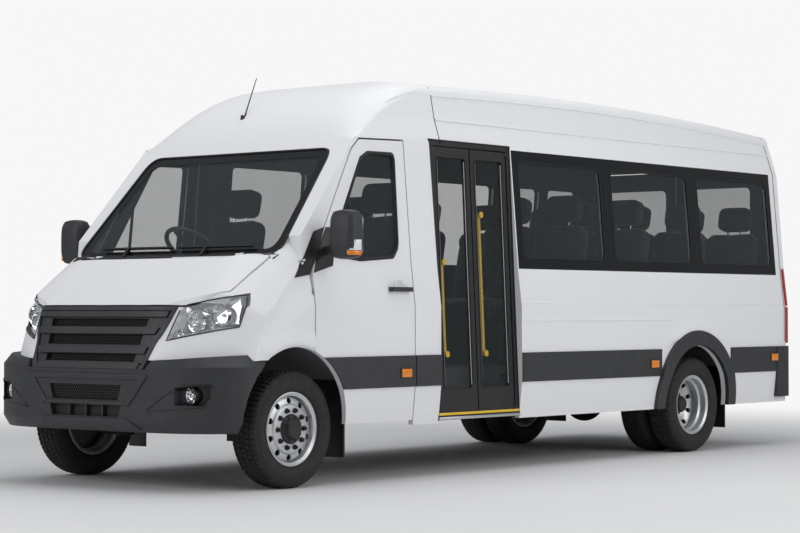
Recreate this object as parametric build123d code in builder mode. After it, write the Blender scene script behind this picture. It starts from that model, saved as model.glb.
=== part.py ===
"""A high-roof minibus with a twin-leaf entrance door, as an assembly of separate pieces.

Millimetres. The vehicle faces -Y, its left side (the entrance) is +X, and the ground is z = 0.
The origin is on the ground below the middle of the vehicle's length. Stations are distances
behind the front axle, and station() turns one into a Y coordinate.
"""
from build123d import *
from math import atan2, cos, radians, sin, sqrt, tan
import os

# ------------------------------------------------------------------ overall
front_overhang = 775
wheelbase = 4325
rear_overhang = 1375
length = front_overhang + wheelbase + rear_overhang
y_tail = length / 2
wall = 35                     # thickness of the body's panels and doors
gap = 10                      # shut line round doors and lids
reach = 3000                  # longer than any cut needs to be

# ------------------------------------------------------------------ body side, half-widths and heights
sill_half, sill_z = 975, 330
waist_half, waist_low_z, waist_top_z = 1000, 567, 1060
belt_half, belt_z = 968, 1310
band_half, band_top_z = 900, 2095
gutter_half, gutter_z = 850, 2250
shoulder_half, shoulder_drop = 822, 125
crown_half, crown_drop = 740, 50
cap_crown_z = 2525            # roof's highest line at the front cap's seam
mid_crown_z = 2548
tail_crown_z = 2455
cap_seam = 1420               # stations of the roof's sections
mid_roof = 2600
rear_wall_depth = 80

# ------------------------------------------------------------------ nose, bonnet and windscreen
nose_z = 860                  # height at which the nose's plan is measured
nose_front = -700
nose_flat_half = 450
nose_lean = 0.35              # how far the nose leans back for each unit of height
bonnet_start, bonnet_start_z = -640, 1055
bonnet_rise = 0.782
cowl_z = 1345
screen_base, screen_base_z = -60, 1362
screen_top, screen_top_z = 545, 2045
bonnet_rear = -110
bonnet_lip_z = 1068
wing_bottom_z = 752

# ------------------------------------------------------------------ wheels and axles
tyre_radius, tyre_width = 345, 205
bead_radius = 203
flange_radius = 217
rim_width = 152
front_track = 1685
dual_centre = 1520            # between the middles of the two rear pairs
dual_spacing = 245
kingpin_half = 655
kingpin_radius = 16
stub_radius = 28
running = 0.05                # radial clearance of a running fit
seated = 0.3                  # gap between pieces that rest on each other
stud_count, stud_circle = 10, 88
vent_count, vent_circle, vent_radius = 10, 152, 13
arch_radius = 450
arch_ahead, arch_up = 40, 30  # front arch's centre from the axle's
rear_arch_radius = 435

# ------------------------------------------------------------------ doors and windows
door_front, door_rear = 123, 1040
door_bottom_z, door_top_z = 360, 2087
hinge_radius, hinge_length, hinge_sink = 9, 56, 26
hinge_rise = hinge_radius + 0.5   # from the surface to the hinge's axis
seal_width = 22
seal_depth = 20
pane_depth, pane_thickness = 6, 8
entry_front, entry_rear = 1300, 2160
entry_bottom_z, entry_top_z = 345, 2120
entry_post = 38
entry_plane_low_half, entry_plane_high_half = 972, 888
leaf_thickness = 30
leaf_gap = 12
leaf_border, leaf_kick = 42, 150
band_start, band_end = 2168, 5545
right_band_start = 1300
pane_bottom_z, pane_top_z = 1385, 2020
pane_round = 55
tail_door_half, tail_door_bottom_z, tail_door_top_z = 780, 775, 2150

# ------------------------------------------------------------------ trim
moulding_low_z, moulding_top_z = 567, 759
moulding_depth = 9
flare_width, flare_depth = 105, 30
bumper_bottom_z, bumper_top_z = 330, 785
bumper_wall = 35

# ------------------------------------------------------------------ chassis and cabin
rail_half, rail_width, rail_low_z, rail_height = 440, 70, 430, 130
jack_stations, jack_pad_length, jack_pad_height = (800, 3000), 110, 10
floor_z, floor_thickness = 660, 40
seat_width, seat_depth, cushion_height, cushion_thick = 430, 440, 430, 120
back_height, back_thick, back_lean = 640, 100, 12
row_pitch = 780
first_row = 2950


def station(distance):
    """Y coordinate of a distance behind the front axle."""
    return front_overhang - length / 2 + distance


y_front = station(0)
y_rear = station(wheelbase)
roof_end = wheelbase + rear_overhang - rear_wall_depth


def cross_plane(distance):
    """Plane across the vehicle; sketch x is X and sketch y is the height."""
    return Plane(origin=(0, station(distance), 0), x_dir=(1, 0, 0), z_dir=(0, -1, 0))


def side_points(below=0):
    """Outline of the left side from the sill to the gutter, as (half-width, height)."""
    return [
        (sill_half, sill_z - below),
        (waist_half, waist_low_z),
        (waist_half, waist_top_z),
        (belt_half, belt_z),
        (band_half, band_top_z),
        (gutter_half, gutter_z),
    ]


def side_half(height):
    """Half-width of the body's outer face at a height."""
    points = side_points()
    for (x0, z0), (x1, z1) in zip(points, points[1:]):
        if height <= z1:
            return x0 + (x1 - x0) * (height - z0) / (z1 - z0)
    return gutter_half


def across(points):
    """The same points on the right side, in reverse order."""
    return [(-x, z) for x, z in reversed(points)]


def body_section(distance, crown_z, inset):
    """The body's section at a station, drawn in by inset and then open below."""
    left = side_points(3 * inset)
    shoulder = (shoulder_half, crown_z - shoulder_drop)
    crown = (crown_half, crown_z - crown_drop)
    bend = ((shoulder_half + crown_half) / 2 + 18, crown_z - (shoulder_drop + crown_drop) / 2 + 18)
    with BuildSketch(cross_plane(distance)) as section:
        with BuildLine():
            Polyline(*left, shoulder)
            ThreePointArc(shoulder, bend, crown)
            ThreePointArc(crown, (0, crown_z), (-crown[0], crown[1]))
            ThreePointArc((-crown[0], crown[1]), (-bend[0], bend[1]), (-shoulder[0], shoulder[1]))
            Polyline((-shoulder[0], shoulder[1]), *across(left))
            Line((-left[0][0], left[0][1]), left[0])
        make_face()
        if inset:
            offset(amount=-inset, kind=Kind.INTERSECTION)
    return section.sketch


def nose_volume(inset):
    """Everything behind the nose's leaning front face."""
    half_plan = [
        (nose_flat_half, nose_front),
        (610, nose_front + 60),
        (900, nose_front + 240),
        (1005, nose_front + 355),
        (1400, nose_front + 1000),
    ]
    shift = nose_lean * (nose_z - sill_z)
    outline = [(x, station(y) - shift) for x, y in half_plan]
    back = station(cap_seam) + reach
    with BuildPart() as nose:
        with BuildSketch(Plane.XY.offset(sill_z)):
            with BuildLine():
                Polyline(*outline, (1400, back), (-1400, back), *across(outline), outline[0])
            make_face()
            if inset:
                offset(amount=-inset, kind=Kind.INTERSECTION)
        extrude(amount=2500 * sqrt(1 + nose_lean**2), dir=(0, nose_lean, 1))
    return nose.part


def bonnet_volume(inset):
    """Everything below the crowned bonnet and wing tops, which rise towards the windscreen."""
    z = bonnet_start_z
    shape = [(610, z - 22), (820, z - 100), (915, z - 215), (1035, z - 350), (1035, z - 1600)]
    with BuildPart() as hood:
        with BuildSketch(cross_plane(bonnet_start - 400)):
            drop = 400 * bonnet_rise
            half = [(x, h - drop) for x, h in shape]
            with BuildLine():
                ThreePointArc((-half[0][0], half[0][1]), (0, z - drop), half[0])
                Polyline(*half, *across(half))
            make_face()
            if inset:
                offset(amount=-inset, kind=Kind.INTERSECTION)
        extrude(amount=1400 * sqrt(1 + bonnet_rise**2), dir=(0, 1, bonnet_rise))
    return hood.part


def cab_volume(inset):
    """The cab's form from the nose to the roof cap's seam, drawn in by inset; open behind and below."""
    back = station(cap_seam) + 3 * inset
    low = sill_z - 3 * inset
    ahead = station(-front_overhang) - 200
    with BuildPart() as cab:
        with BuildSketch(Plane.YZ):
            with BuildLine():
                Polyline(
                    (back, cap_crown_z),
                    (back, low),
                    (ahead, low),
                    (ahead, cowl_z - 40),
                    (station(bonnet_rear - 150), cowl_z),
                    (station(screen_base), screen_base_z),
                    (station(screen_top), screen_top_z),
                    (station(screen_top + 50), screen_top_z + 62),
                )
                ThreePointArc(
                    (station(screen_top + 50), screen_top_z + 62),
                    (station(900), 2368),
                    (station(cap_seam), cap_crown_z),
                )
                if inset:
                    Line((station(cap_seam), cap_crown_z), (back, cap_crown_z))
            make_face()
            if inset:
                offset(amount=-inset, kind=Kind.INTERSECTION)
        extrude(amount=1300, both=True)
        section = body_section(cap_seam + 400, cap_crown_z, inset)
        extrude(section, amount=front_overhang + cap_seam + 800, mode=Mode.INTERSECT)
        add(nose_volume(inset), mode=Mode.INTERSECT)
        with BuildPart(mode=Mode.PRIVATE) as over_bonnet:
            with Locations((0, station(40) - 1000 + 2 * inset, 1500)):
                Box(2600, 2000, 3000)
            add(bonnet_volume(inset), mode=Mode.SUBTRACT)
        add(over_bonnet.part, mode=Mode.SUBTRACT)
    return cab.part


def side_prism(points, left=True, both=False):
    """A prism across the vehicle from a side-view outline of (station, height) points."""
    with BuildPart() as prism:
        with BuildSketch(Plane.YZ):
            with BuildLine():
                Polyline(*[(station(s), z) for s, z in points], close=True)
            make_face()
        extrude(amount=1300, both=True) if both else extrude(amount=1300 if left else -1300)
    return prism.part



def front_prism(points, near, far):
    """A prism along Y from a front-view outline of (x, z) points, between two stations."""
    with BuildPart() as prism:
        with BuildSketch(cross_plane(near)):
            with BuildLine():
                Polyline(*points, close=True)
            make_face()
        extrude(amount=near - far)
    return prism.part


def mirrored(points):
    """A symmetric outline from its left half, given from the bottom to the top."""
    return list(points) + across(points)


def side_strip(outward, inward, start, end, direction=1):
    """The body side between two depths from its outer face, from the sill to the gutter."""
    outer = [(x + outward, z) for x, z in side_points()]
    inner = [(x - inward, z) for x, z in reversed(side_points())]
    points = [(direction * x, z) for x, z in outer + inner]
    return front_prism(points, start, end)


def hinge_halves(plane, radius, body_arm, door_arm):
    """Fixed half with its pin, and moving half, of a hinge.

    The plane lies at the hinge's middle: its z is the axis, its x points along the surface to the
    moving piece, and its y points into the vehicle. Each arm is its length along the surface.
    """
    pin = 0.55 * radius
    height = (hinge_length - seated) / 2
    middle = (height + seated) / 2
    deep = (hinge_sink - 0.4 * radius) / 2
    thick = hinge_sink + 0.4 * radius
    with BuildPart(plane) as fixed:
        with Locations((0, 0, -middle)):
            Cylinder(radius, height)
        with Locations((-body_arm / 2, deep, -middle)):
            Box(body_arm, thick, height)
        Cylinder(pin, hinge_length)
    with BuildPart(plane) as moving:
        with Locations((0, 0, middle)):
            Cylinder(radius, height)
        with Locations((door_arm / 2, deep, middle)):
            Box(door_arm, thick, height)
        Cylinder(pin + running, hinge_length + 2, mode=Mode.SUBTRACT)
    return fixed.part, moving.part


def both_sides(piece):
    """A piece of the left side and its mirror image."""
    with BuildPart() as pair:
        add(piece)
        add(mirror(piece, about=Plane.YZ))
    return pair.part


def wheel_well(distance, radius, ahead=0, up=0):
    """A cylinder across the vehicle that clears a pair of wheels."""
    with BuildPart() as well:
        with Locations((0, station(distance - ahead), tyre_radius + up)):
            Cylinder(radius, 2600, rotation=(0, 90, 0))
    return well.part


front_well = wheel_well(0, arch_radius, arch_ahead, arch_up)
rear_well = wheel_well(wheelbase, rear_arch_radius)

# ------------------------------------------------------------------ cab: skin and outlines
cab_outer = cab_volume(0)
with BuildPart() as cab_skin:
    add(cab_outer)
    add(cab_volume(wall), mode=Mode.SUBTRACT)
with BuildPart() as cab_glass:
    add(cab_volume(pane_depth))
    add(cab_volume(pane_depth + pane_thickness), mode=Mode.SUBTRACT)
with BuildPart() as cab_seal:
    add(cab_outer)
    add(cab_volume(seal_depth), mode=Mode.SUBTRACT)

door_outline = [
    (door_front, belt_z - 55),
    (175, belt_z + 85),
    (548, 2010),
    (625, door_top_z - 12),
    (door_rear, door_top_z),
    (door_rear, door_bottom_z),
    (door_front, door_bottom_z),
]
door_glass = [(268, 1362), (618, 1968), (690, 2008), (950, 2012), (930, 1415), (880, 1352), (560, 1330)]
bonnet_outline = [
    (620, -1000),
    (620, -575),
    (805, -400),
    (838, bonnet_rear),
]
screen_low, screen_high = (868, screen_base_z + 8), (775, 2022)
lamp_outline = [(560, 862), (905, 940), (915, 1060), (885, 1128), (625, 1062)]
grille_low, grille_high = (434, 700), (605, 1061)


def outline_face(plane, points, grow=0, round_by=0):
    """A closed outline as a face, grown or shrunk, with its corners rounded."""
    with BuildSketch(plane) as face:
        with BuildLine():
            Polyline(*points, close=True)
        make_face()
        if grow:
            offset(amount=grow, kind=Kind.INTERSECTION)
        if round_by:
            fillet(face.vertices(), round_by)
    return face.sketch


def side_outline(points, grow=0, round_by=0):
    """A side-view outline of (station, height) points as a face."""
    return outline_face(Plane.YZ, [(station(s), z) for s, z in points], grow, round_by)


bonnet_plan = [(x, station(s)) for x, s in bonnet_outline]
bonnet_plan = bonnet_plan + across(bonnet_plan)
screen_outline = mirrored([screen_low, screen_high])

# ------------------------------------------------------------------ cab: panels
bonnet_hinge_radius = 7
bonnet_hinge_z = screen_base_z - 4 + bonnet_hinge_radius + 0.5
bonnet_hinges = [
    hinge_halves(
        Plane(origin=(x, station(bonnet_rear + gap / 2), bonnet_hinge_z), x_dir=(0, -1, 0), z_dir=(1, 0, 0)),
        bonnet_hinge_radius, 22, 22,
    )
    for x in (-600, 600)
]
with BuildPart() as bonnet:
    add(cab_skin.part)
    extrude(outline_face(Plane.XY.offset(bonnet_lip_z), bonnet_plan), amount=600, mode=Mode.INTERSECT)
    for fixed, moving in bonnet_hinges:
        add(moving)
bonnet.part.label = "bonnet"

with BuildPart() as bonnet_space:
    extrude(outline_face(Plane.XY.offset(bonnet_lip_z - gap), bonnet_plan, gap), amount=600)

wing_outline = [
    (-front_overhang - 200, wing_bottom_z),
    (-front_overhang - 200, 1500),
    (bonnet_rear, 1500),
    (bonnet_rear, belt_z + 12),
    (door_front - gap, belt_z + 12),
    (door_front - gap, wing_bottom_z),
]
door_hinges = [
    hinge_halves(
        Plane(origin=(waist_half + hinge_rise, station(door_front - gap / 2), z), x_dir=(0, 1, 0), z_dir=(0, 0, 1)),
        hinge_radius, 24, 24,
    )
    for z in (850, 1130)
]
with BuildPart() as wings:
    add(cab_skin.part)
    extrude(side_outline(wing_outline), amount=1300, both=True, mode=Mode.INTERSECT)
    add(bonnet_space.part, mode=Mode.SUBTRACT)
    add(front_well, mode=Mode.SUBTRACT)
    extrude(
        outline_face(cross_plane(-front_overhang - 200), mirrored([grille_low, grille_high])),
        amount=-(front_overhang + 200),
        mode=Mode.SUBTRACT,
    )
    for side in (lamp_outline, [(-x, z) for x, z in lamp_outline]):
        lamp_hole = outline_face(cross_plane(-front_overhang - 200), side)
        extrude(lamp_hole, amount=-(front_overhang - 60), mode=Mode.SUBTRACT)
    for fixed, moving in door_hinges:
        add(both_sides(fixed))
wings.part.label = "wings"

with BuildPart() as headlamps:
    add(cab_skin.part)
    with BuildPart(mode=Mode.PRIVATE) as lamp_space:
        for side in (lamp_outline, [(-x, z) for x, z in lamp_outline]):
            lamp_hole = outline_face(cross_plane(-front_overhang - 200), side)
            extrude(lamp_hole, amount=-(front_overhang - 60))
    add(lamp_space.part, mode=Mode.INTERSECT)
    add(bonnet_space.part, mode=Mode.SUBTRACT)

door_depth = wall + 25
with BuildPart() as door_space:
    extrude(side_outline(door_outline, gap), amount=1300, both=True)
    add(both_sides(side_strip(100, door_depth + gap, -100, door_rear + 100)), mode=Mode.INTERSECT)
with BuildPart() as cab_frame:
    add(cab_skin.part)
    extrude(
        side_outline([(bonnet_rear, belt_z + 15), (bonnet_rear, 2700), (cap_seam, 2700),
                      (cap_seam, entry_top_z + 3), (door_rear + gap, entry_top_z + 3),
                      (door_rear + gap, door_top_z - 60), (door_front, belt_z + 15)]),
        amount=1300, both=True, mode=Mode.INTERSECT,
    )
    add(door_space.part, mode=Mode.SUBTRACT)
    extrude(
        outline_face(cross_plane(-300), screen_outline, 0, 60),
        amount=-1300, mode=Mode.SUBTRACT,
    )
    add(bonnet_space.part, mode=Mode.SUBTRACT)
    for fixed, moving in bonnet_hinges:
        add(fixed)
cab_frame.part.label = "cab_frame"

with BuildPart() as windscreen:
    add(cab_glass.part)
    extrude(outline_face(cross_plane(-300), screen_outline, 0, 60), amount=-1300, mode=Mode.INTERSECT)
    split(bisect_by=Plane(origin=(0, station(620), 0), z_dir=(0, 1, 0)), keep=Keep.BOTTOM)
windscreen.part.label = "windscreen"


def cab_door_pieces(direction):
    """Door panel, pane and seal of one side; direction is 1 for the left."""
    with BuildPart() as panel:
        add(cab_skin.part)
        extrude(side_outline(door_outline), amount=1300 * direction, mode=Mode.INTERSECT)
        add(side_strip(100, door_depth, 0, door_rear + gap, direction), mode=Mode.INTERSECT)
        extrude(side_outline(door_glass, 0, 28), amount=1300 * direction, mode=Mode.SUBTRACT)
        add(front_well, mode=Mode.SUBTRACT)
        for fixed, moving in door_hinges:
            add(moving if direction == 1 else mirror(moving, about=Plane.YZ))
    with BuildPart() as pane:
        add(cab_glass.part)
        extrude(side_outline(door_glass, -seal_width, 20), amount=1300 * direction, mode=Mode.INTERSECT)
    with BuildPart() as seal:
        add(cab_seal.part)
        extrude(side_outline(door_glass, 0, 28), amount=1300 * direction, mode=Mode.INTERSECT)
        extrude(side_outline(door_glass, -seal_width, 20), amount=1300 * direction, mode=Mode.SUBTRACT)
    return panel.part, pane.part, seal.part


left_panel, left_pane, left_seal = cab_door_pieces(1)
right_panel, right_pane, right_seal = cab_door_pieces(-1)


# ------------------------------------------------------------------ body: section, sides and roof
def box_outline(start, end, low, high):
    """A side-view rectangle."""
    return [(start, low), (start, high), (end, high), (end, low)]


left_panes = [(2240, 3195), (3330, 4330), (4470, 4945), (5090, 5490)]
right_panes = [(1385, 2120), (2240, 3195), (3330, 4330), (4470, 4945), (5090, 5490)]
band_low_z, band_high_z = belt_z, band_top_z
pane_border = 12


def body_side(direction, band_from, panes):
    """Side panel, window band and panes of one side."""
    with BuildPart() as panel:
        add(side_strip(0, wall, door_rear + gap, roof_end, direction))
        band = side_outline(box_outline(band_from, band_end, band_low_z, band_high_z))
        with BuildPart(mode=Mode.PRIVATE) as recess:
            add(side_strip(60, pane_depth + pane_thickness, door_rear, roof_end, direction))
            extrude(band, amount=1300, both=True, mode=Mode.INTERSECT)
        add(recess.part, mode=Mode.SUBTRACT)
        for start, end in panes:
            hole = side_outline(box_outline(start, end, pane_bottom_z, pane_top_z), pane_border, pane_round)
            extrude(hole, amount=1300 * direction, mode=Mode.SUBTRACT)
        extrude(side_outline(box_outline(0, cap_seam, entry_top_z + 3, 2700)), amount=1300 * direction,
                mode=Mode.SUBTRACT)
        add(rear_well, mode=Mode.SUBTRACT)
    with BuildPart() as frame:
        add(side_strip(0, pane_depth + pane_thickness, band_from, band_end, direction))
        extrude(band, amount=1300, both=True, mode=Mode.INTERSECT)
        for start, end in panes:
            hole = side_outline(box_outline(start, end, pane_bottom_z, pane_top_z), 0, pane_round)
            extrude(hole, amount=1300 * direction, mode=Mode.SUBTRACT)
    with BuildPart() as glass:
        add(side_strip(-pane_depth, pane_depth + pane_thickness, band_from, band_end, direction))
        with BuildPart(mode=Mode.PRIVATE) as spaces:
            for start, end in panes:
                hole = side_outline(box_outline(start, end, pane_bottom_z, pane_top_z), 0, pane_round)
                extrude(hole, amount=1300 * direction)
        add(spaces.part, mode=Mode.INTERSECT)
    return panel.part, frame.part, glass.part


left_side, left_band, left_glass = body_side(1, band_start, left_panes)
right_side, right_band, right_glass = body_side(-1, right_band_start, right_panes)

doorway = side_outline(box_outline(entry_front, entry_rear, sill_z - 50, entry_top_z))
with BuildPart() as side_left:
    add(left_side)
    extrude(doorway, amount=1300, mode=Mode.SUBTRACT)
side_left.part.label = "side_left"
with BuildPart() as side_right:
    add(right_side)
side_right.part.label = "side_right"
with BuildPart() as window_bands:
    add(left_band)
    add(right_band)
window_bands.part.label = "window_bands"
with BuildPart() as side_glass:
    add(left_glass)
    add(right_glass)
side_glass.part.label = "side_glass"


def roof_face(distance, crown_z):
    """Section of the roof's shell above the gutters."""
    shoulder, crown = (shoulder_half, crown_z - shoulder_drop), (crown_half, crown_z - crown_drop)
    bend = ((shoulder_half + crown_half) / 2 + 18, crown_z - (shoulder_drop + crown_drop) / 2 + 18)
    w = wall
    with BuildSketch(cross_plane(distance)) as face:
        with BuildLine():
            Line((gutter_half, gutter_z), shoulder)
            ThreePointArc(shoulder, bend, crown)
            ThreePointArc(crown, (0, crown_z), (-crown[0], crown[1]))
            ThreePointArc((-crown[0], crown[1]), (-bend[0], bend[1]), (-shoulder[0], shoulder[1]))
            Polyline((-shoulder[0], shoulder[1]), (-gutter_half, gutter_z), (w - gutter_half, gutter_z),
                     (w - shoulder[0], shoulder[1] - w / 3))
            ThreePointArc((w - shoulder[0], shoulder[1] - w / 3), (0.7 * w - bend[0], bend[1] - 0.7 * w),
                          (w / 2 - crown[0], crown[1] - w))
            ThreePointArc((w / 2 - crown[0], crown[1] - w), (0, crown_z - w), (crown[0] - w / 2, crown[1] - w))
            ThreePointArc((crown[0] - w / 2, crown[1] - w), (bend[0] - 0.7 * w, bend[1] - 0.7 * w),
                          (shoulder[0] - w, shoulder[1] - w / 3))
            Polyline((shoulder[0] - w, shoulder[1] - w / 3), (gutter_half - w, gutter_z),
                     (gutter_half, gutter_z))
        make_face()
    return face.sketch


with BuildPart() as roof:
    loft([roof_face(cap_seam, cap_crown_z), roof_face(mid_roof, mid_crown_z),
          roof_face(roof_end, tail_crown_z)])
roof.part.label = "roof"

# ------------------------------------------------------------------ tail
tail_lamp_low_z, tail_lamp_top_z, tail_lamp_inner = 780, 1360, 858
tail_panel_end = wheelbase + rear_overhang - 25
tail_depth = tail_panel_end - roof_end
tail_round = 50


def tail_block():
    """The solid end of the body, rounded at its corners and along its top."""
    start, end = station(roof_end), station(tail_panel_end)
    with BuildPart() as block:
        extrude(body_section(roof_end, tail_crown_z, 0), amount=-tail_depth)
        with BuildSketch(Plane.XY) as plan:
            with Locations((0, (start + end) / 2 - 100)):
                RectangleRounded(2 * waist_half, end - start + 200, tail_round)
        extrude(amount=3000, mode=Mode.INTERSECT)
        with BuildSketch(Plane.YZ) as profile:
            with Locations(((start + end) / 2 - 100, tail_crown_z - 1500)):
                RectangleRounded(end - start + 200, 3000, tail_round)
        extrude(amount=1300, both=True, mode=Mode.INTERSECT)
    return block.part


def tail_lamp_space(shrink=0):
    """The two upright recesses at the tail's corners."""
    with BuildPart() as space:
        for side in (1, -1):
            lamp = [(side * tail_lamp_inner, tail_lamp_low_z), (side * tail_lamp_inner, tail_lamp_top_z),
                    (side * 1010, tail_lamp_top_z), (side * 1010, tail_lamp_low_z)]
            extrude(outline_face(cross_plane(roof_end + 15), lamp, -shrink), amount=-rear_wall_depth)
    return space.part


tail_hinges = [
    hinge_halves(
        Plane(
            origin=(tail_door_half + gap / 2, station(tail_panel_end) + hinge_rise, z),
            x_dir=(-1, 0, 0),
            z_dir=(0, 0, 1),
        ),
        hinge_radius, 26, 26,
    )
    for z in (950, 1450, 1950)
]
with BuildPart() as tail_frame:
    add(tail_block())
    extrude(
        outline_face(
            cross_plane(roof_end),
            mirrored([(tail_door_half, tail_door_bottom_z), (tail_door_half, tail_door_top_z)]),
            gap,
        ),
        amount=-rear_wall_depth,
        mode=Mode.SUBTRACT,
    )
    add(tail_lamp_space(), mode=Mode.SUBTRACT)
    for fixed, moving in tail_hinges:
        add(both_sides(fixed))
tail_frame.part.label = "tail_frame"

with BuildPart() as tail_lamps:
    add(tail_block())
    add(tail_lamp_space(), mode=Mode.INTERSECT)
tail_lamps.part.label = "tail_lamps"

tail_door_wall = 40
tail_window_bottom_z, tail_window_top_z = 1370, 2010


def tail_door_pieces(direction):
    """Panel and pane of one rear door."""
    d = direction
    outline = [(d * gap / 2, tail_door_bottom_z), (d * tail_door_half, tail_door_bottom_z),
               (d * tail_door_half, tail_door_top_z), (d * gap / 2, tail_door_top_z)]
    window = [(d * 95, tail_window_bottom_z), (d * (tail_door_half - 95), tail_window_bottom_z),
              (d * (tail_door_half - 95), tail_window_top_z), (d * 95, tail_window_top_z)]
    start = tail_panel_end - tail_door_wall
    with BuildPart() as panel:
        extrude(outline_face(cross_plane(start), outline, 0, 30), amount=-tail_door_wall)
        extrude(outline_face(cross_plane(start), window, 0, 45), amount=-tail_door_wall, mode=Mode.SUBTRACT)
        for fixed, moving in tail_hinges:
            add(moving if direction == 1 else mirror(moving, about=Plane.YZ))
    with BuildPart() as pane:
        extrude(outline_face(cross_plane(start + 20), window, 0, 45), amount=-pane_thickness)
    return panel.part, pane.part


left_tail_panel, left_tail_pane = tail_door_pieces(1)
right_tail_panel, right_tail_pane = tail_door_pieces(-1)

# ------------------------------------------------------------------ entrance door
entry_lean = atan2(entry_plane_low_half - entry_plane_high_half, entry_top_z - entry_bottom_z)
entry_rise = (entry_top_z - entry_bottom_z) / cos(entry_lean)
entry_plane = Plane(
    origin=(entry_plane_low_half, 0, entry_bottom_z),
    x_dir=(0, 1, 0),
    z_dir=(cos(entry_lean), 0, sin(entry_lean)),
)
entry_middle = (entry_front + entry_rear) / 2
leaf_low, leaf_high = entry_post + 8, entry_rise - entry_post - 8
leaf_clearance = 5
frame_inner_half = 830

leaf_front_start = entry_front + entry_post + leaf_clearance
leaf_rear_end = entry_rear - entry_post - leaf_clearance
pivot_height, pivot_sink, lug_radius, pivot_pin = 25, 15, 10, 5


def pivot(distance, low, height, radius):
    """A cylinder about a leaf's turning axis, between two heights in the leaning plane."""
    low_point = entry_plane.from_local_coords((station(distance), low, 0))
    with BuildPart(Plane(origin=low_point, z_dir=entry_plane.y_dir)) as round_bar:
        Cylinder(radius, height, align=(Align.CENTER, Align.CENTER, Align.MIN))
    return round_bar.part


with BuildPart() as entry_frame:
    add(side_strip(0, 1000 - frame_inner_half, entry_front, entry_rear))
    extrude(
        side_outline(box_outline(entry_front, entry_rear, entry_bottom_z, entry_top_z)),
        amount=1300,
        mode=Mode.INTERSECT,
    )
    Box(2 * frame_inner_half, 3 * length, 6000, mode=Mode.SUBTRACT)
    extrude(
        side_outline(
            box_outline(entry_front + entry_post, entry_rear - entry_post,
                        entry_bottom_z + entry_post, entry_top_z - entry_post)
        ),
        amount=1300,
        mode=Mode.SUBTRACT,
    )
    for distance in (leaf_front_start, leaf_rear_end):
        for low in (leaf_low, leaf_high - pivot_height):
            add(pivot(distance, low - 6, pivot_height + 12, lug_radius + leaf_clearance), mode=Mode.SUBTRACT)
        add(pivot(distance, leaf_low - pivot_sink, pivot_sink + pivot_height, pivot_pin))
        add(pivot(distance, leaf_high - pivot_height, pivot_sink + pivot_height, pivot_pin))
entry_frame.part.label = "entry_frame"


def leaf_face(start, end, low, high, round_by=0, out=0.0):
    """A rectangle in the entrance door's leaning plane."""
    points = [(station(start), low), (station(start), high), (station(end), high), (station(end), low)]
    plane = entry_plane.offset(out)
    return outline_face(plane, points, 0, round_by)


def leaf_pieces(start, end, axis):
    """Frame and pane of one entrance door leaf, which turns about the axis's station."""
    with BuildPart() as frame:
        extrude(leaf_face(start, end, leaf_low, leaf_high), amount=-leaf_thickness)
        extrude(leaf_face(start + leaf_border, end - leaf_border, leaf_low + leaf_kick,
                leaf_high - 1.5 * leaf_border, 25), amount=-leaf_thickness, mode=Mode.SUBTRACT)
        for low in (leaf_low, leaf_high - pivot_height):
            add(pivot(axis, low, pivot_height, lug_radius))
            add(pivot(axis, low - 1, pivot_height + 2, pivot_pin + running), mode=Mode.SUBTRACT)
    with BuildPart() as pane:
        extrude(leaf_face(start + leaf_border, end - leaf_border, leaf_low + leaf_kick,
                leaf_high - 1.5 * leaf_border, 25, -9), amount=-pane_thickness)
    return frame.part, pane.part


front_leaf_frame, front_leaf_pane = leaf_pieces(leaf_front_start, entry_middle - leaf_gap / 2, leaf_front_start)
rear_leaf_frame, rear_leaf_pane = leaf_pieces(entry_middle + leaf_gap / 2, leaf_rear_end, leaf_rear_end)
rail_radius, rail_reach, rail_inset = 14, 40, 25


def leaf_rail(distance, low, high):
    """A grab rail on a leaf's inner face."""
    corner = 30
    y = station(distance)
    with BuildPart() as rail:
        inside = -leaf_thickness
        points = [entry_plane.from_local_coords((y, low, inside)),
                  entry_plane.from_local_coords((y, low, inside - rail_reach)),
                  entry_plane.from_local_coords((y, high, inside - rail_reach)),
                  entry_plane.from_local_coords((y, high, inside))]
        with BuildLine() as path:
            FilletPolyline(*points, radius=corner)
        start = Plane(origin=points[0], z_dir=points[1] - points[0])
        with BuildSketch(start):
            Circle(rail_radius)
        sweep(path=path.line)
    return rail.part


front_rail = leaf_rail(leaf_front_start + rail_inset, 560, 1180)
rear_rail = leaf_rail(entry_middle + leaf_gap / 2 + rail_inset, 560, 1400)


# ------------------------------------------------------------------ wheels
def ring_about_x(outline, centre_x):
    """A body turned about the wheel's axis from (radius, distance outboard) points."""
    with BuildPart() as turned:
        with BuildSketch(Plane.XZ):
            with BuildLine():
                Polyline(*[(centre_x + a, r) for r, a in outline], close=True)
            make_face()
        revolve(axis=Axis.X)
    return turned.part


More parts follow.
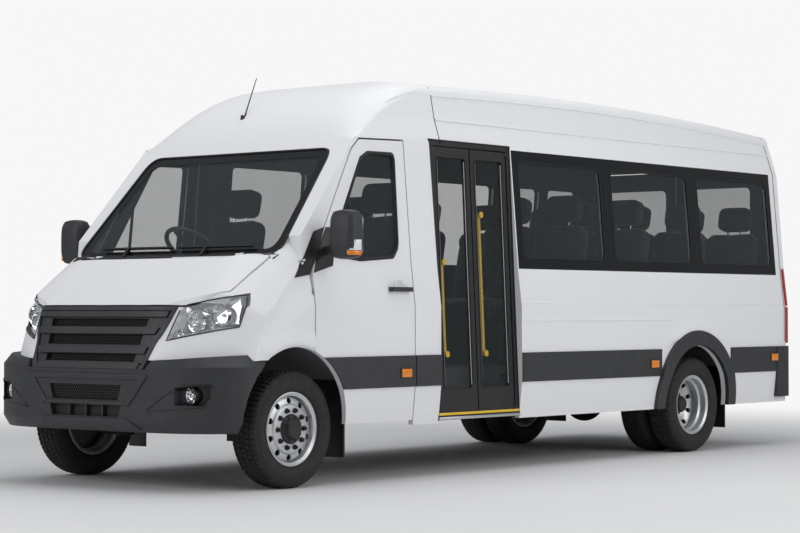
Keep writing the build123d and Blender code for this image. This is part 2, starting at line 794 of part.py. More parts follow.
def tyre_shape(centre_x):
    """One tyre about the X axis: beads, bulged sidewalls and a grooved tread."""
    half, rim = tyre_width / 2, rim_width / 2
    shoulder = 26
    groove, groove_depth = 5, 8
    tread = [(tyre_radius - 5, shoulder - half)]
    for centre in (-60, -20, 20, 60):
        tread += [(tyre_radius, centre - groove), (tyre_radius - groove_depth, centre - groove),
                  (tyre_radius - groove_depth, centre + groove), (tyre_radius, centre + groove)]
    tread += [(tyre_radius - 5, half - shoulder)]
    with BuildPart() as tyre:
        with BuildSketch(Plane.XZ):
            with BuildLine():
                Polyline(*[(centre_x + a, r) for r, a in tread])
                for side in (1, -1):
                    edge = (centre_x + side * (half - shoulder), tyre_radius - 5)
                    widest = (centre_x + side * half, tyre_radius - 62)
                    bead = (centre_x + side * (rim + 1), flange_radius + 2)
                    seat = (centre_x + side * (rim - 12), bead_radius)
                    ThreePointArc(edge, (centre_x + side * (half - 5), tyre_radius - 22), widest)
                    ThreePointArc(widest, (centre_x + side * (half - 6), (tyre_radius - 62 + flange_radius) / 2), bead)
                    Line(bead, seat)
                Line((centre_x + rim - 12, bead_radius), (centre_x - rim + 12, bead_radius))
            make_face()
        revolve(axis=Axis.X)
    return tyre.part


def rim_shape(centre_x, face, hub_out, hub_in, dish, weld):
    """One wheel: barrel, ventilated disc and hub.

    face is the mounting face's offset outboard, dish the way the disc bulges, and weld how far
    the disc's edge lies inside the bead seat.
    """
    r, h = bead_radius - 0.5, rim_width / 2
    barrel = [
        (r, -h + 12), (flange_radius, -h), (flange_radius, -h - 5), (flange_radius - 6, -h - 5),
        (r - 8, -h + 6), (r - 8, -22), (r - 24, -16), (r - 24, 16), (r - 8, 22), (r - 8, h - 6),
        (flange_radius - 6, h + 5), (flange_radius, h + 5), (flange_radius, h), (r, h - 12),
        (r, 24), (r - 16, 14), (r - 16, -14), (r, -24),
    ]
    edge = r - weld
    disc = [
        (edge, face - dish * 62), (edge, face - dish * 50), (160, face - dish * 16), (128, face),
        (30, face), (30, face - dish * 12), (126, face - dish * 12), (154, face - dish * 30),
    ]
    with BuildPart() as rim:
        add(ring_about_x(barrel, centre_x))
        add(ring_about_x(disc, centre_x))
        add(ring_about_x([(stub_radius + running, face - hub_in), (66, face - hub_in), (66, face),
                          (52, face + hub_out), (stub_radius + running, face + hub_out)], centre_x))
        with Locations(Plane(origin=(centre_x + face, 0, 0), z_dir=(1, 0, 0))):
            with PolarLocations(vent_circle, vent_count):
                Cylinder(vent_radius, 220, mode=Mode.SUBTRACT)
    return rim.part


front_centre = front_track / 2
dual_outer = (dual_centre + dual_spacing) / 2
dual_inner = (dual_centre - dual_spacing) / 2
front_face = rim_width / 2 - 6
dual_hub_half, outer_hub_out = 12, 118
outer_dual_face = dual_hub_half - dual_spacing / 2
front_hub_in, front_hub_out = 70, 24

with BuildPart() as front_tyre:
    add(tyre_shape(front_centre))
with BuildPart() as front_rim:
    add(rim_shape(front_centre, front_face, front_hub_out, front_hub_in, 1, 20))
with BuildPart() as rear_tyres:
    add(tyre_shape(dual_outer))
    add(tyre_shape(dual_inner))
with BuildPart() as rear_rims:
    add(rim_shape(dual_outer, outer_dual_face, outer_hub_out, dual_hub_half, -1, 4))
    add(rim_shape(dual_inner, -outer_dual_face - 2 * dual_hub_half, dual_hub_half, dual_hub_half, 1, 4))


# ------------------------------------------------------------------ bumpers
bumper_half_plan = [
    (500, -front_overhang),
    (640, 22 - front_overhang),
    (820, 95 - front_overhang),
    (965, 215 - front_overhang),
    (1020, 325 - front_overhang),
]
bumper_fold_low_z, bumper_fold_high_z = 400, 715
fog_x, fog_z, fog_radius = 752, 553, 42


def bumper_plan(z, inset):
    """The front bumper's plan at a height, drawn in by inset."""
    outline = [(x, station(s)) for x, s in bumper_half_plan]
    edge = bumper_half_plan[-1][0]
    points = outline + [(edge, station(600)), (-edge, station(600))] + across(outline)
    return outline_face(Plane.XY.offset(z), points, -inset)


with BuildPart() as bumper_block:
    extrude(bumper_plan(bumper_fold_low_z, 0), amount=bumper_fold_high_z - bumper_fold_low_z)
    extrude(bumper_plan(bumper_fold_high_z, 0), amount=bumper_top_z - bumper_fold_high_z, taper=38)
    extrude(bumper_plan(bumper_fold_low_z, 0), amount=bumper_bottom_z - bumper_fold_low_z, taper=30)


def bumper_inside(inset):
    """The space behind a wall of the bumper, open above and below."""
    with BuildPart() as space:
        extrude(bumper_plan(bumper_bottom_z - 100, inset), amount=bumper_top_z - bumper_bottom_z + 200)
    return space.part


bumper_top_outline = mirrored([(1200, bumper_bottom_z - 50), (1200, bumper_top_z), (1000, bumper_top_z),
                               (640, wing_bottom_z + 6), (505, wing_bottom_z), (452, grille_low[1] - seated)])
intake_outline = mirrored([(275, 520), (303, 608)])
slot_outline = mirrored([(282, 424), (300, 490)])
fog_outline = [(690, 500), (690, 600), (880, 615), (880, 545), (850, 497)]
with BuildPart() as front_bumper:
    add(bumper_block.part)
    add(bumper_inside(bumper_wall), mode=Mode.SUBTRACT)
    with BuildPart(mode=Mode.PRIVATE) as shelf:
        add(bumper_block.part)
        add(bumper_inside(170), mode=Mode.SUBTRACT)
        with BuildPart(mode=Mode.PRIVATE) as shelf_zone:
            with Locations((0, y_front, (bumper_fold_high_z + bumper_top_z) / 2)):
                Box(3000, 3000, bumper_top_z - bumper_fold_high_z)
        add(shelf_zone.part, mode=Mode.INTERSECT)
    add(shelf.part)
    for side in (1, -1):
        fog_points = [(side * x, z) for x, z in fog_outline]
        with BuildPart(mode=Mode.PRIVATE) as boss:
            add(bumper_block.part)
            add(bumper_inside(85), mode=Mode.SUBTRACT)
            extrude(outline_face(cross_plane(-900), fog_points, 20), amount=-700, mode=Mode.INTERSECT)
        add(boss.part)
    for side in (1, -1):
        fog_points = [(side * x, z) for x, z in fog_outline]
        with BuildPart(mode=Mode.PRIVATE) as pocket:
            add(bumper_block.part)
            add(bumper_inside(55), mode=Mode.SUBTRACT)
            extrude(outline_face(cross_plane(-900), fog_points), amount=-700, mode=Mode.INTERSECT)
        add(pocket.part, mode=Mode.SUBTRACT)
        with Locations((side * fog_x, station(-600), fog_z)):
            Cylinder(fog_radius, 500, rotation=(90, 0, 0), mode=Mode.SUBTRACT)
    extrude(outline_face(cross_plane(-900), bumper_top_outline), amount=-1500, mode=Mode.INTERSECT)
    extrude(outline_face(cross_plane(-900), intake_outline), amount=-400, mode=Mode.SUBTRACT)
    extrude(outline_face(cross_plane(-900), slot_outline), amount=-400, mode=Mode.SUBTRACT)
    with BuildPart(mode=Mode.PRIVATE) as bumper_rear:
        with Locations((0, station(-260) + 1000, 500)):
            Box(3000, 2000, 2000)
    add(bumper_rear.part, mode=Mode.SUBTRACT)
    add(front_well, mode=Mode.SUBTRACT)
    add(wings.part, mode=Mode.SUBTRACT)
front_bumper.part.label = "front_bumper"

with BuildPart() as front_lamps:
    add(headlamps.part)
    for side in (1, -1):
        with Locations((side * fog_x, station(-615), fog_z)):
            Cylinder(fog_radius, 60, rotation=(90, 0, 0))
front_lamps.part.label = "front_lamps"

# ------------------------------------------------------------------ grille
slats = [(1.0, 1032, 1000), (1.0, 938, 902), (1.0, 826, 790), (1.0, 735, 702)]
grille_holes = [(415, 943, 988), (400, 838, 896), (372, 742, 785)]


def grille_half(z):
    """Half-width of the grille's trapezoid at a height."""
    (x0, z0), (x1, z1) = grille_low, grille_high
    return x0 + (x1 - x0) * (z - z0) / (z1 - z0)


def nose_layer(outward, inward):
    """The nose's leaning face between two depths."""
    with BuildPart() as layer:
        add(nose_volume(-outward))
        add(nose_volume(inward), mode=Mode.SUBTRACT)
        with BuildPart(mode=Mode.PRIVATE) as ahead:
            with Locations((0, station(-560) - 1000, 900)):
                Box(3000, 2000, 1200)
        add(ahead.part, mode=Mode.INTERSECT)
    return layer.part


with BuildPart() as grille:
    add(nose_layer(0, 35))
    extrude(outline_face(cross_plane(-900), mirrored([grille_low, grille_high])), amount=-500, mode=Mode.INTERSECT)
    for half, low, high in grille_holes:
        hole = outline_face(cross_plane(-900), mirrored([(half - 8, low), (half, high)]))
        extrude(hole, amount=-500, mode=Mode.SUBTRACT)
    with BuildPart(mode=Mode.PRIVATE) as bars:
        add(nose_layer(16, 10))
        with BuildPart(mode=Mode.PRIVATE) as bar_zones:
            for spread, high, low in slats:
                points = mirrored([(grille_half(low) - 40, low), (grille_half(high) - 40, high)])
                extrude(outline_face(cross_plane(-900), points), amount=-500)
        add(bar_zones.part, mode=Mode.INTERSECT)
    add(bars.part)
    with BuildPart(mode=Mode.PRIVATE) as rim_bars:
        add(nose_layer(10, 10))
        extrude(outline_face(cross_plane(-900), mirrored([grille_low, grille_high])), amount=-500,
                mode=Mode.INTERSECT)
        extrude(outline_face(cross_plane(-900), mirrored([grille_low, grille_high]), -24), amount=-500,
                mode=Mode.SUBTRACT)
    add(rim_bars.part)
grille.part.label = "grille"

with BuildPart() as grille_mesh:
    add(nose_layer(-35, 41))
    extrude(outline_face(cross_plane(-900), mirrored([(grille_low[0] - 5, grille_low[1] + 5),
            (grille_high[0] - 60, grille_high[1] - 30)])), amount=-500, mode=Mode.INTERSECT)
    with BuildPart(mode=Mode.PRIVATE) as intake_mesh:
        extrude(outline_face(cross_plane(bumper_wall - front_overhang), mirrored([(330, 410), (330, 625)])),
                amount=-6)
    add(intake_mesh.part)
grille_mesh.part.label = "grille_mesh"

# ------------------------------------------------------------------ side trim
def ring_face(inner, outer, distance):
    """Side view of an arch: a ring about the axle."""
    with BuildSketch(Plane.YZ) as ring:
        with Locations((station(distance), tyre_radius)):
            Circle(outer)
            Circle(inner, mode=Mode.SUBTRACT)
    return ring.sketch


moulding_zone = box_outline(0, roof_end, moulding_low_z, moulding_top_z)
flare_outer = rear_arch_radius + flare_width
tail_bumper_start = wheelbase + rear_overhang - 215


def moulding(start, end, direction):
    """A length of the waist moulding."""
    with BuildPart() as strip:
        add(side_strip(moulding_depth, 0, start, end, direction))
        extrude(side_outline(moulding_zone), amount=1300, both=True, mode=Mode.INTERSECT)
    return strip.part


with BuildPart() as side_mouldings:
    for direction, stretches in ((1, [(door_rear + gap, entry_front), (entry_rear, wheelbase - 480),
                                      (wheelbase + 480, tail_bumper_start)]),
                                 (-1, [(door_rear + gap, wheelbase - 480),
                                       (wheelbase + 480, tail_bumper_start)])):
        for start, end in stretches:
            add(moulding(start, end, direction))
        with BuildPart(mode=Mode.PRIVATE) as flare:
            add(side_strip(flare_depth, 0, wheelbase - 700, wheelbase + 700, direction))
            extrude(ring_face(rear_arch_radius, flare_outer, wheelbase), amount=1300, both=True,
                    mode=Mode.INTERSECT)
        add(flare.part)
side_mouldings.part.label = "side_mouldings"

tail_bumper_top_z, tail_bumper_low_z = moulding_top_z, 370
with BuildPart() as tail_bumper:
    with BuildSketch(Plane.XY.offset(tail_bumper_low_z)):
        with Locations((0, (station(tail_bumper_start) + y_tail) / 2 - 100)):
            RectangleRounded(2 * (waist_half + moulding_depth + 6), y_tail - station(tail_bumper_start) + 200, 60)
    extrude(amount=tail_bumper_top_z - tail_bumper_low_z)
    with BuildPart(mode=Mode.PRIVATE) as ahead_of_bumper:
        with Locations((0, station(tail_bumper_start) - 1000, 500)):
            Box(3000, 2000, 2000)
    add(ahead_of_bumper.part, mode=Mode.SUBTRACT)
    with BuildPart(mode=Mode.PRIVATE) as body_end:
        add(tail_block())
        extrude(body_section(tail_bumper_start - 50, tail_crown_z, 0), amount=tail_bumper_start - 50 - roof_end)
    add(body_end.part, mode=Mode.SUBTRACT)
tail_bumper.part.label = "tail_bumper"

# ------------------------------------------------------------------ chassis, axles and engine
with BuildPart() as chassis:
    rail_start, rail_end = bumper_wall - front_overhang, roof_end
    for side in (1, -1):
        with Locations((side * rail_half, station((rail_start + rail_end) / 2), rail_low_z + rail_height / 2)):
            Box(rail_width, rail_end - rail_start, rail_height)
    cross_height = floor_z - floor_thickness - rail_low_z - rail_height
    for distance in (520, 1150, 2300, 3400, 5100, 5500):
        with Locations((0, station(distance), rail_low_z + rail_height + cross_height / 2)):
            Box(1840, 70, cross_height)
    for distance in (-560, -300, 1150, 2300, 3400, 5100):
        with Locations((0, station(distance), rail_low_z + 35)):
            Box(2 * rail_half, 60, 70)
    for side in (1, -1):
        for distance in jack_stations:
            with Locations((side * rail_half, station(distance), rail_low_z - jack_pad_height / 2)):
                Box(rail_width, jack_pad_length, jack_pad_height)
chassis.part.label = "chassis"

knuckle_low_z, knuckle_high_z = tyre_radius - 60, tyre_radius + 60
eye_height, eye_radius = 22, 32
with BuildPart() as front_axle:
    with Locations((0, y_front, rail_low_z - 25)):
        Box(2 * (rail_half + rail_width / 2), 110, 50)
    for side in (1, -1):
        with Locations((side * (rail_half + 30), y_front, tyre_radius)):
            Box(60, 90, 2 * (rail_low_z - tyre_radius))
        for z in (knuckle_low_z - eye_height / 2 - seated, knuckle_high_z + eye_height / 2 + seated):
            with Locations((side * (kingpin_half + rail_half + 30) / 2, y_front, z)):
                Box(kingpin_half - rail_half - 30, 2 * eye_radius, eye_height)
            with Locations((side * kingpin_half, y_front, z)):
                Cylinder(eye_radius, eye_height)
        with Locations((side * kingpin_half, y_front, tyre_radius)):
            Cylinder(kingpin_radius, knuckle_high_z - knuckle_low_z + 2 * eye_height)
front_axle.part.label = "front_axle"

stub_end = front_centre + front_face + 6
with BuildPart() as left_knuckle:
    with Locations((kingpin_half, y_front, tyre_radius)):
        Cylinder(eye_radius + 4, knuckle_high_z - knuckle_low_z)
    with Locations(((kingpin_half + stub_end) / 2, y_front, tyre_radius)):
        Cylinder(stub_radius, stub_end - kingpin_half, rotation=(0, 90, 0))
    with Locations((kingpin_half, y_front, tyre_radius)):
        Cylinder(kingpin_radius + running, 400, mode=Mode.SUBTRACT)
left_knuckle.part.label = "left_knuckle"
with BuildPart() as right_knuckle:
    add(mirror(left_knuckle.part, about=Plane.YZ))
right_knuckle.part.label = "right_knuckle"

axle_tube_radius = 52
rear_stub_end = dual_outer + outer_dual_face + 80
spring_length, spring_width = 1300, 60
with BuildPart() as rear_axle:
    with Locations((0, y_rear, tyre_radius)):
        Cylinder(stub_radius, 2 * rear_stub_end, rotation=(0, 90, 0))
        Cylinder(axle_tube_radius, 2 * (dual_inner - outer_dual_face - 24 - 60 - rim_width), rotation=(0, 90, 0))
        Sphere(150)
    for side in (1, -1):
        with Locations((side * rail_half, y_rear, (tyre_radius + rail_low_z) / 2)):
            Box(spring_width, spring_length / 6, rail_low_z - tyre_radius)
        with Locations((side * rail_half, y_rear, rail_low_z - 14)):
            Box(spring_width, spring_length, 28)
    with BuildPart(mode=Mode.PRIVATE) as above_rails:
        with Locations((0, y_rear, rail_low_z + 500)):
            Box(2000, 2000, 1000)
    add(above_rails.part, mode=Mode.SUBTRACT)
rear_axle.part.label = "rear_axle"

engine_start, engine_end, engine_half, engine_top_z = -520, -110, 280, 1000
with BuildPart() as engine:
    with Locations((0, station((engine_start + engine_end) / 2), (rail_low_z + 70 + engine_top_z) / 2)):
        Box(2 * engine_half, engine_end - engine_start, engine_top_z - rail_low_z - 70)
engine.part.label = "engine"

tank_start, tank_length, tank_width, tank_height = 2450, 820, 380, 190
with BuildPart() as fuel_tank:
    with Locations((-(rail_half + rail_width / 2 + tank_width / 2), station(tank_start + tank_length / 2),
                    floor_z - floor_thickness - tank_height / 2)):
        Box(tank_width, tank_length, tank_height)
        fillet(fuel_tank.edges().filter_by(Axis.Y), 40)
fuel_tank.part.label = "fuel_tank"

# ------------------------------------------------------------------ floor, dashboard and step
cabin_half = waist_half - wall
cab_floor_half = cabin_half - 20
toe_foot, toe_top, bulkhead_at = 455, 893, -70
step_inner_half, step_sheet = 600, 20
step_z = entry_bottom_z + entry_post
box_top_z, box_inner_half, box_half_length, box_sheet = 805, 500, 450, 18
with BuildPart() as floor:
    with Locations((0, station((toe_foot + roof_end) / 2), floor_z - floor_thickness / 2)):
        Box(2 * cabin_half, roof_end - toe_foot, floor_thickness)
    for side in (1, -1):
        with Locations((side * (cabin_half + cab_floor_half) / 2, station((toe_foot + door_rear + gap) / 2),
                        floor_z)):
            Box(cabin_half - cab_floor_half, door_rear + gap - toe_foot, 200, mode=Mode.SUBTRACT)
        with Locations((side * (box_inner_half + cabin_half) / 2, y_rear, (floor_z - floor_thickness + box_top_z) / 2)):
            Box(cabin_half - box_inner_half, 2 * box_half_length, box_top_z - floor_z + floor_thickness)
        with Locations((side * (box_inner_half + cabin_half + box_sheet) / 2, y_rear,
                        (floor_z - floor_thickness + box_top_z) / 2 - box_sheet)):
            Box(cabin_half - box_inner_half - box_sheet, 2 * (box_half_length - box_sheet),
                box_top_z - floor_z + floor_thickness, mode=Mode.SUBTRACT)
    with Locations(((step_inner_half + cabin_half) / 2 + 50, station((entry_front + entry_rear) / 2), floor_z)):
        Box(cabin_half - step_inner_half + 100, entry_rear - entry_front, 300, mode=Mode.SUBTRACT)
    with BuildPart(mode=Mode.PRIVATE) as bulkhead:
        extrude(side_outline([(bulkhead_at, 1400), (bulkhead_at + 25, 1400), (bulkhead_at + 25, toe_top),
                              (110, 870), (toe_foot, floor_z), (toe_foot, floor_z - floor_thickness),
                              (toe_foot - 12, floor_z - floor_thickness), (95, 842),
                              (bulkhead_at, toe_top - 30)]), amount=cab_floor_half - 15, both=True)
        add(cab_skin.part, mode=Mode.SUBTRACT)
    add(bulkhead.part.solids().sort_by(Axis.Z)[0])
floor.part.label = "floor"

with BuildPart() as step:
    with Locations(((step_inner_half + frame_inner_half) / 2, station((entry_front + entry_rear) / 2),
                    step_z - step_sheet / 2)):
        Box(frame_inner_half - step_inner_half, entry_rear - entry_front, step_sheet)
    with Locations((step_inner_half + step_sheet / 2, station((entry_front + entry_rear) / 2),
                    (step_z + floor_z) / 2)):
        Box(step_sheet, entry_rear - entry_front, floor_z - step_z)
    for y in (station(entry_front) + step_sheet / 2, station(entry_rear) - step_sheet / 2):
        with Locations(((step_inner_half + frame_inner_half) / 2, y, (step_z + floor_z) / 2)):
            Box(frame_inner_half - step_inner_half, step_sheet, floor_z - step_z)
step.part.label = "step"

dash_half = 850
wheel_x, wheel_station, wheel_z = -400, 520, 1430
wheel_ring, wheel_grip, column_tilt = 195, 15, 50
column_axis = Vector(0, cos(radians(column_tilt)), sin(radians(column_tilt)))
wheel_centre = Vector(wheel_x, station(wheel_station), wheel_z)
dash_outline = [(bulkhead_at + 25, 1000), (bulkhead_at + 25, 1330), (60, 1345), (250, 1335), (330, 1290),
                (345, 1180), (300, 1060), (200, 1000)]
with BuildPart() as dashboard:
    extrude(side_outline(dash_outline), amount=dash_half, both=True)
    add(cab_skin.part, mode=Mode.SUBTRACT)
    with BuildSketch(Plane(origin=wheel_centre - column_axis * 30, z_dir=-column_axis)):
        Circle(34)
    extrude(amount=230)
    with BuildSketch(Plane(origin=wheel_centre - column_axis * 32, z_dir=column_axis)):
        Circle(11)
    extrude(amount=45)
dashboard.part.label = "dashboard"

with BuildPart() as steering_wheel:
    with BuildSketch(Plane(origin=wheel_centre, x_dir=(1, 0, 0), z_dir=Vector(1, 0, 0).cross(column_axis))):
        with Locations((wheel_ring, 0)):
            Circle(wheel_grip)
    revolve(axis=Axis(wheel_centre, column_axis))
    with BuildSketch(Plane(origin=wheel_centre - column_axis * 28, x_dir=(1, 0, 0), z_dir=column_axis)):
        Circle(48)
        with PolarLocations(wheel_ring / 2, 3, start_angle=-90):
            Rectangle(wheel_ring, 34)
    extrude(amount=22)
    with BuildSketch(Plane(origin=wheel_centre - column_axis * 40, x_dir=(1, 0, 0), z_dir=column_axis)):
        Circle(11 + running)
    extrude(amount=80, mode=Mode.SUBTRACT)
steering_wheel.part.label = "steering_wheel"

# ------------------------------------------------------------------ seats and rails
seat_gap = 12
cab_seats = [(600, 985), (600 - seat_width - seat_gap, 985), (-610, 985)]
row_xs = (635, 635 - seat_width - seat_gap, -635)
rows = [first_row + i * row_pitch for i in range(4)]
seat_places = cab_seats + [(x, s) for s in rows for x in row_xs] + [(-635, first_row - row_pitch)]
cushion_top_z = floor_z + cushion_height

with BuildPart() as seat_cushions:
    for x, s in seat_places:
        with Locations((x, station(s - seat_depth / 2 - seated), cushion_top_z - cushion_thick / 2)):
            Box(seat_width, seat_depth, cushion_thick)
seat_cushions.part.label = "seat_cushions"

lean = tan(radians(back_lean))
back_low_z = cushion_top_z - 60
back_outline = [(0, 0), (back_thick, 0), (back_thick + lean * back_height - 15, back_height),
                (lean * back_height + 20, back_height)]
head_outline = [(lean * back_height + 18, back_height), (lean * back_height + 15 + lean * 190, back_height + 190),
                (lean * back_height + 85 + lean * 190, back_height + 190),
                (lean * back_height + 85, back_height)]
with BuildPart() as seat_backs:
    for x, s in seat_places:
        for outline, width in ((back_outline, seat_width), (head_outline, 270)):
            points = [(station(s + a), back_low_z + b) for a, b in outline]
            face = outline_face(Plane(origin=(x - width / 2, 0, 0), x_dir=(0, 1, 0), z_dir=(1, 0, 0)), points)
            extrude(face, amount=width)
seat_backs.part.label = "seat_backs"

with BuildPart() as seat_legs:
    for x, s in seat_places:
        with Locations((x, station(s - seat_depth / 2), (floor_z + cushion_top_z - cushion_thick) / 2)):
            Box(seat_width - 120, seat_depth - 140, cushion_top_z - cushion_thick - floor_z)
    for side in (1, -1):
        with Locations((side * (box_inner_half + cabin_half) / 2, y_rear, box_top_z / 2)):
            Box(cabin_half - box_inner_half, 2 * box_half_length, box_top_z, mode=Mode.SUBTRACT)
seat_legs.part.label = "seat_legs"

# ------------------------------------------------------------------ mudflaps, wipers and antenna
flap_thickness = 12
with BuildPart() as mudflaps:
    for side in (1, -1):
        with Locations((side * 850, station(toe_foot + flap_thickness / 2), (155 + floor_z - floor_thickness) / 2)):
            Box(150, flap_thickness, floor_z - floor_thickness - 155)
        with Locations((side * 730, station(wheelbase + box_half_length + 60), (155 + floor_z - floor_thickness) / 2)):
            Box(400, flap_thickness, floor_z - floor_thickness - 155)
mudflaps.part.label = "mudflaps"

antenna_along, antenna_length, antenna_foot = 0.13, 300, 40
cap_curve = Edge.make_three_point_arc(
    Vector(0, station(screen_top + 50), screen_top_z + 62),
    Vector(0, station(900), 2368),
    Vector(0, station(cap_seam), cap_crown_z),
)
antenna_base = cap_curve.position_at(antenna_along)
antenna_normal = Vector(1, 0, 0).cross(cap_curve.tangent_at(antenna_along))
antenna_plane = Plane(origin=antenna_base + antenna_normal * 0.2, x_dir=(1, 0, 0), z_dir=antenna_normal)
with BuildPart() as antenna:
    with BuildSketch(antenna_plane):
        Circle(18)
    extrude(amount=antenna_foot / 2)
    with BuildSketch(Plane(origin=antenna_base + antenna_normal * 10, z_dir=(0, 0.45, 1))):
        Circle(8)
    extrude(amount=antenna_foot)
    with BuildSketch(Plane(origin=antenna_base + antenna_normal * 10, z_dir=(0, 0.45, 1))):
        Circle(4)
    extrude(amount=antenna_length)
antenna.part.label = "antenna"

screen_tilt = atan2(screen_top_z - screen_base_z, screen_top - screen_base)
screen_plane = Plane(
    origin=(0, station(screen_base), screen_base_z),
    x_dir=(1, 0, 0),
    z_dir=(0, -sin(screen_tilt), cos(screen_tilt)),
)
wiper_arms = [(-420, -340), (250, 330)]      # pivot and blade centre of each wiper
blade_length, blade_up, blade_lift, blade_thick = 620, 62, 8, 14
pivot_radius = 14
with BuildPart() as wipers:
    with BuildSketch(screen_plane.offset(blade_lift)):
        for pivot_x, blade_x in wiper_arms:
            with Locations((blade_x, blade_up)):
                Rectangle(blade_length, 12)
            with Locations((pivot_x, blade_up / 2)):
                Rectangle(24, blade_up)
    extrude(amount=blade_thick)
    with BuildSketch(screen_plane.offset(-pivot_radius)):
        for pivot_x, blade_x in wiper_arms:
            with Locations((pivot_x, 0)):
                Circle(pivot_radius)
    extrude(amount=pivot_radius + blade_lift + blade_thick)
    add(cab_outer, mode=Mode.SUBTRACT)
wipers.part.label = "wipers"

# ------------------------------------------------------------------ door trim: seal, moulding, mirror and handle
mirror_x, mirror_station, mirror_low_z, mirror_top_z = 1165, 205, 1335, 1625
mirror_width, mirror_depth = 190, 120
handle_station, handle_z, handle_length = 900, 1165, 190


def door_trim(seal, direction):
    """Seal, waist moulding, mirror and handle of a cab door."""
    with BuildPart() as trim:
        add(seal)
        with BuildPart(mode=Mode.PRIVATE) as strip:
            add(moulding(door_front, door_rear, direction))
            add(front_well, mode=Mode.SUBTRACT)
        add(strip.part)
        with BuildPart(mode=Mode.PRIVATE) as mirror_shell:
            with BuildSketch(Plane.XY.offset(mirror_low_z)):
                with Locations((direction * mirror_x, station(mirror_station))):
                    RectangleRounded(mirror_width, mirror_depth, 38)
            extrude(amount=mirror_top_z - mirror_low_z)
            with Locations((direction * (mirror_x - mirror_width / 2 - 60), station(mirror_station + 45),
                            mirror_low_z + 55)):
                Box(200, 34, 46)
            add(cab_outer, mode=Mode.SUBTRACT)
        add(mirror_shell.part)
        with BuildPart(mode=Mode.PRIVATE) as handle:
            x = side_half(handle_z)
            with Locations((direction * (x + 16), station(handle_station), handle_z)):
                Box(44, handle_length, 28)
            with Locations((direction * (x + 4), station(handle_station), handle_z)):
                Box(36, handle_length - 60, 60, mode=Mode.SUBTRACT)
            add(cab_outer, mode=Mode.SUBTRACT)
        add(handle.part)
    return trim.part


# ------------------------------------------------------------------ writing the moving pieces
def write(name, piece):
    """Label a piece and write its STEP file."""
    piece.label = name
    export_step(piece, f"parts/{name}.step")


os.makedirs("parts", exist_ok=True)
for piece in (bonnet, wings, front_lamps, cab_frame, windscreen, side_left, side_right, window_bands, side_glass,
              roof, tail_frame, tail_lamps, entry_frame, front_bumper, grille, grille_mesh,
              side_mouldings, tail_bumper, chassis, front_axle, left_knuckle, right_knuckle, rear_axle, engine,
              fuel_tank, floor, step, dashboard, steering_wheel, seat_cushions, seat_backs, seat_legs, mudflaps,
              antenna, wipers):
    write(piece.part.label, piece.part)

write("left_door", left_panel)
write("left_door_glass", left_pane)
write("left_door_trim", door_trim(left_seal, 1))
write("right_door", right_panel)
write("right_door_glass", right_pane)
write("right_door_trim", door_trim(right_seal, -1))
write("left_tail_door", left_tail_panel)
write("left_tail_glass", left_tail_pane)
write("right_tail_door", right_tail_panel)
write("right_tail_glass", right_tail_pane)
write("front_leaf", front_leaf_frame)
write("front_leaf_glass", front_leaf_pane)
write("front_leaf_rail", front_rail)
write("rear_leaf", rear_leaf_frame)
write("rear_leaf_glass", rear_leaf_pane)
write("rear_leaf_rail", rear_rail)
for name, y, piece in (("front_tyre", y_front, front_tyre), ("front_rim", y_front, front_rim),
                       ("rear_tyres", y_rear, rear_tyres), ("rear_rims", y_rear, rear_rims)):
    placed = piece.part.moved(Location((0, y, tyre_radius)))
    write("left_" + name, placed)
    write("right_" + name, mirror(placed, about=Plane.YZ))
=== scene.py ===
import math

import bmesh
import bpy
from mathutils import Matrix, Vector
from mathutils.bvhtree import BVHTree
from mathutils.kdtree import KDTree


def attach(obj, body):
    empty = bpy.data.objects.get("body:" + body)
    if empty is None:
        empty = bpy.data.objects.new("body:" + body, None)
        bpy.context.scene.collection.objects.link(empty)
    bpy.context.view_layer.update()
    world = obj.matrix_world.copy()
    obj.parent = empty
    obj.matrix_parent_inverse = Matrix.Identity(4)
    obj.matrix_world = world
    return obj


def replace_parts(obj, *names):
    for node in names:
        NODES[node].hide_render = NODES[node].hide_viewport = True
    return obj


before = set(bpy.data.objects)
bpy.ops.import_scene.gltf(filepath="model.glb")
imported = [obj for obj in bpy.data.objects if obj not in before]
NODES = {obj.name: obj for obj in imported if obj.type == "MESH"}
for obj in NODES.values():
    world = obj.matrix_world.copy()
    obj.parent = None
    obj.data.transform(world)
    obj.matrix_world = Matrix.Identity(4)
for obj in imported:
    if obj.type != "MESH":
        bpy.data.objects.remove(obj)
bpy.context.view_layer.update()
scene = bpy.context.scene

# ------------------------------------------------------------------ driving sizes, metres
FRONT_OVERHANG, WHEELBASE, REAR_OVERHANG = 0.775, 4.325, 1.375
LENGTH = FRONT_OVERHANG + WHEELBASE + REAR_OVERHANG
TYRE_R, TYRE_W, BEAD_R, FLANGE_R, RIM_W = 0.345, 0.205, 0.203, 0.217, 0.152
FRONT_CENTRE, DUAL_OUTER, DUAL_INNER = 0.8425, 0.8825, 0.6375


def st(distance):
    """Y of a distance in metres behind the front axle."""
    return FRONT_OVERHANG - LENGTH / 2 + distance


# ------------------------------------------------------------------ materials
NOISE_LOW, NOISE_HIGH = 0.3, 0.7    # most of a noise texture lies between these
# Heights of the paint's painted shade: full at the lower height, gone at the upper.
SHADE_LOW_Z, SHADE_HIGH_Z = 0.33, 0.62


def new_material(name):
    m = bpy.data.materials.new(name)
    m.use_nodes = True
    return m, m.node_tree, m.node_tree.nodes["Principled BSDF"]


def set_sockets(nt, target, **inputs):
    """Sets a node's sockets, or links them where another socket is given; _ stands for a space."""
    for key, value in inputs.items():
        socket = target.inputs[key.replace("_", " ")]
        if isinstance(value, bpy.types.NodeSocket):
            nt.links.new(value, socket)
        else:
            socket.default_value = value


def shader(nt, kind, **inputs):
    """A new shader node with its sockets set."""
    made = nt.nodes.new(f"ShaderNode{kind}")
    set_sockets(nt, made, **inputs)
    return made


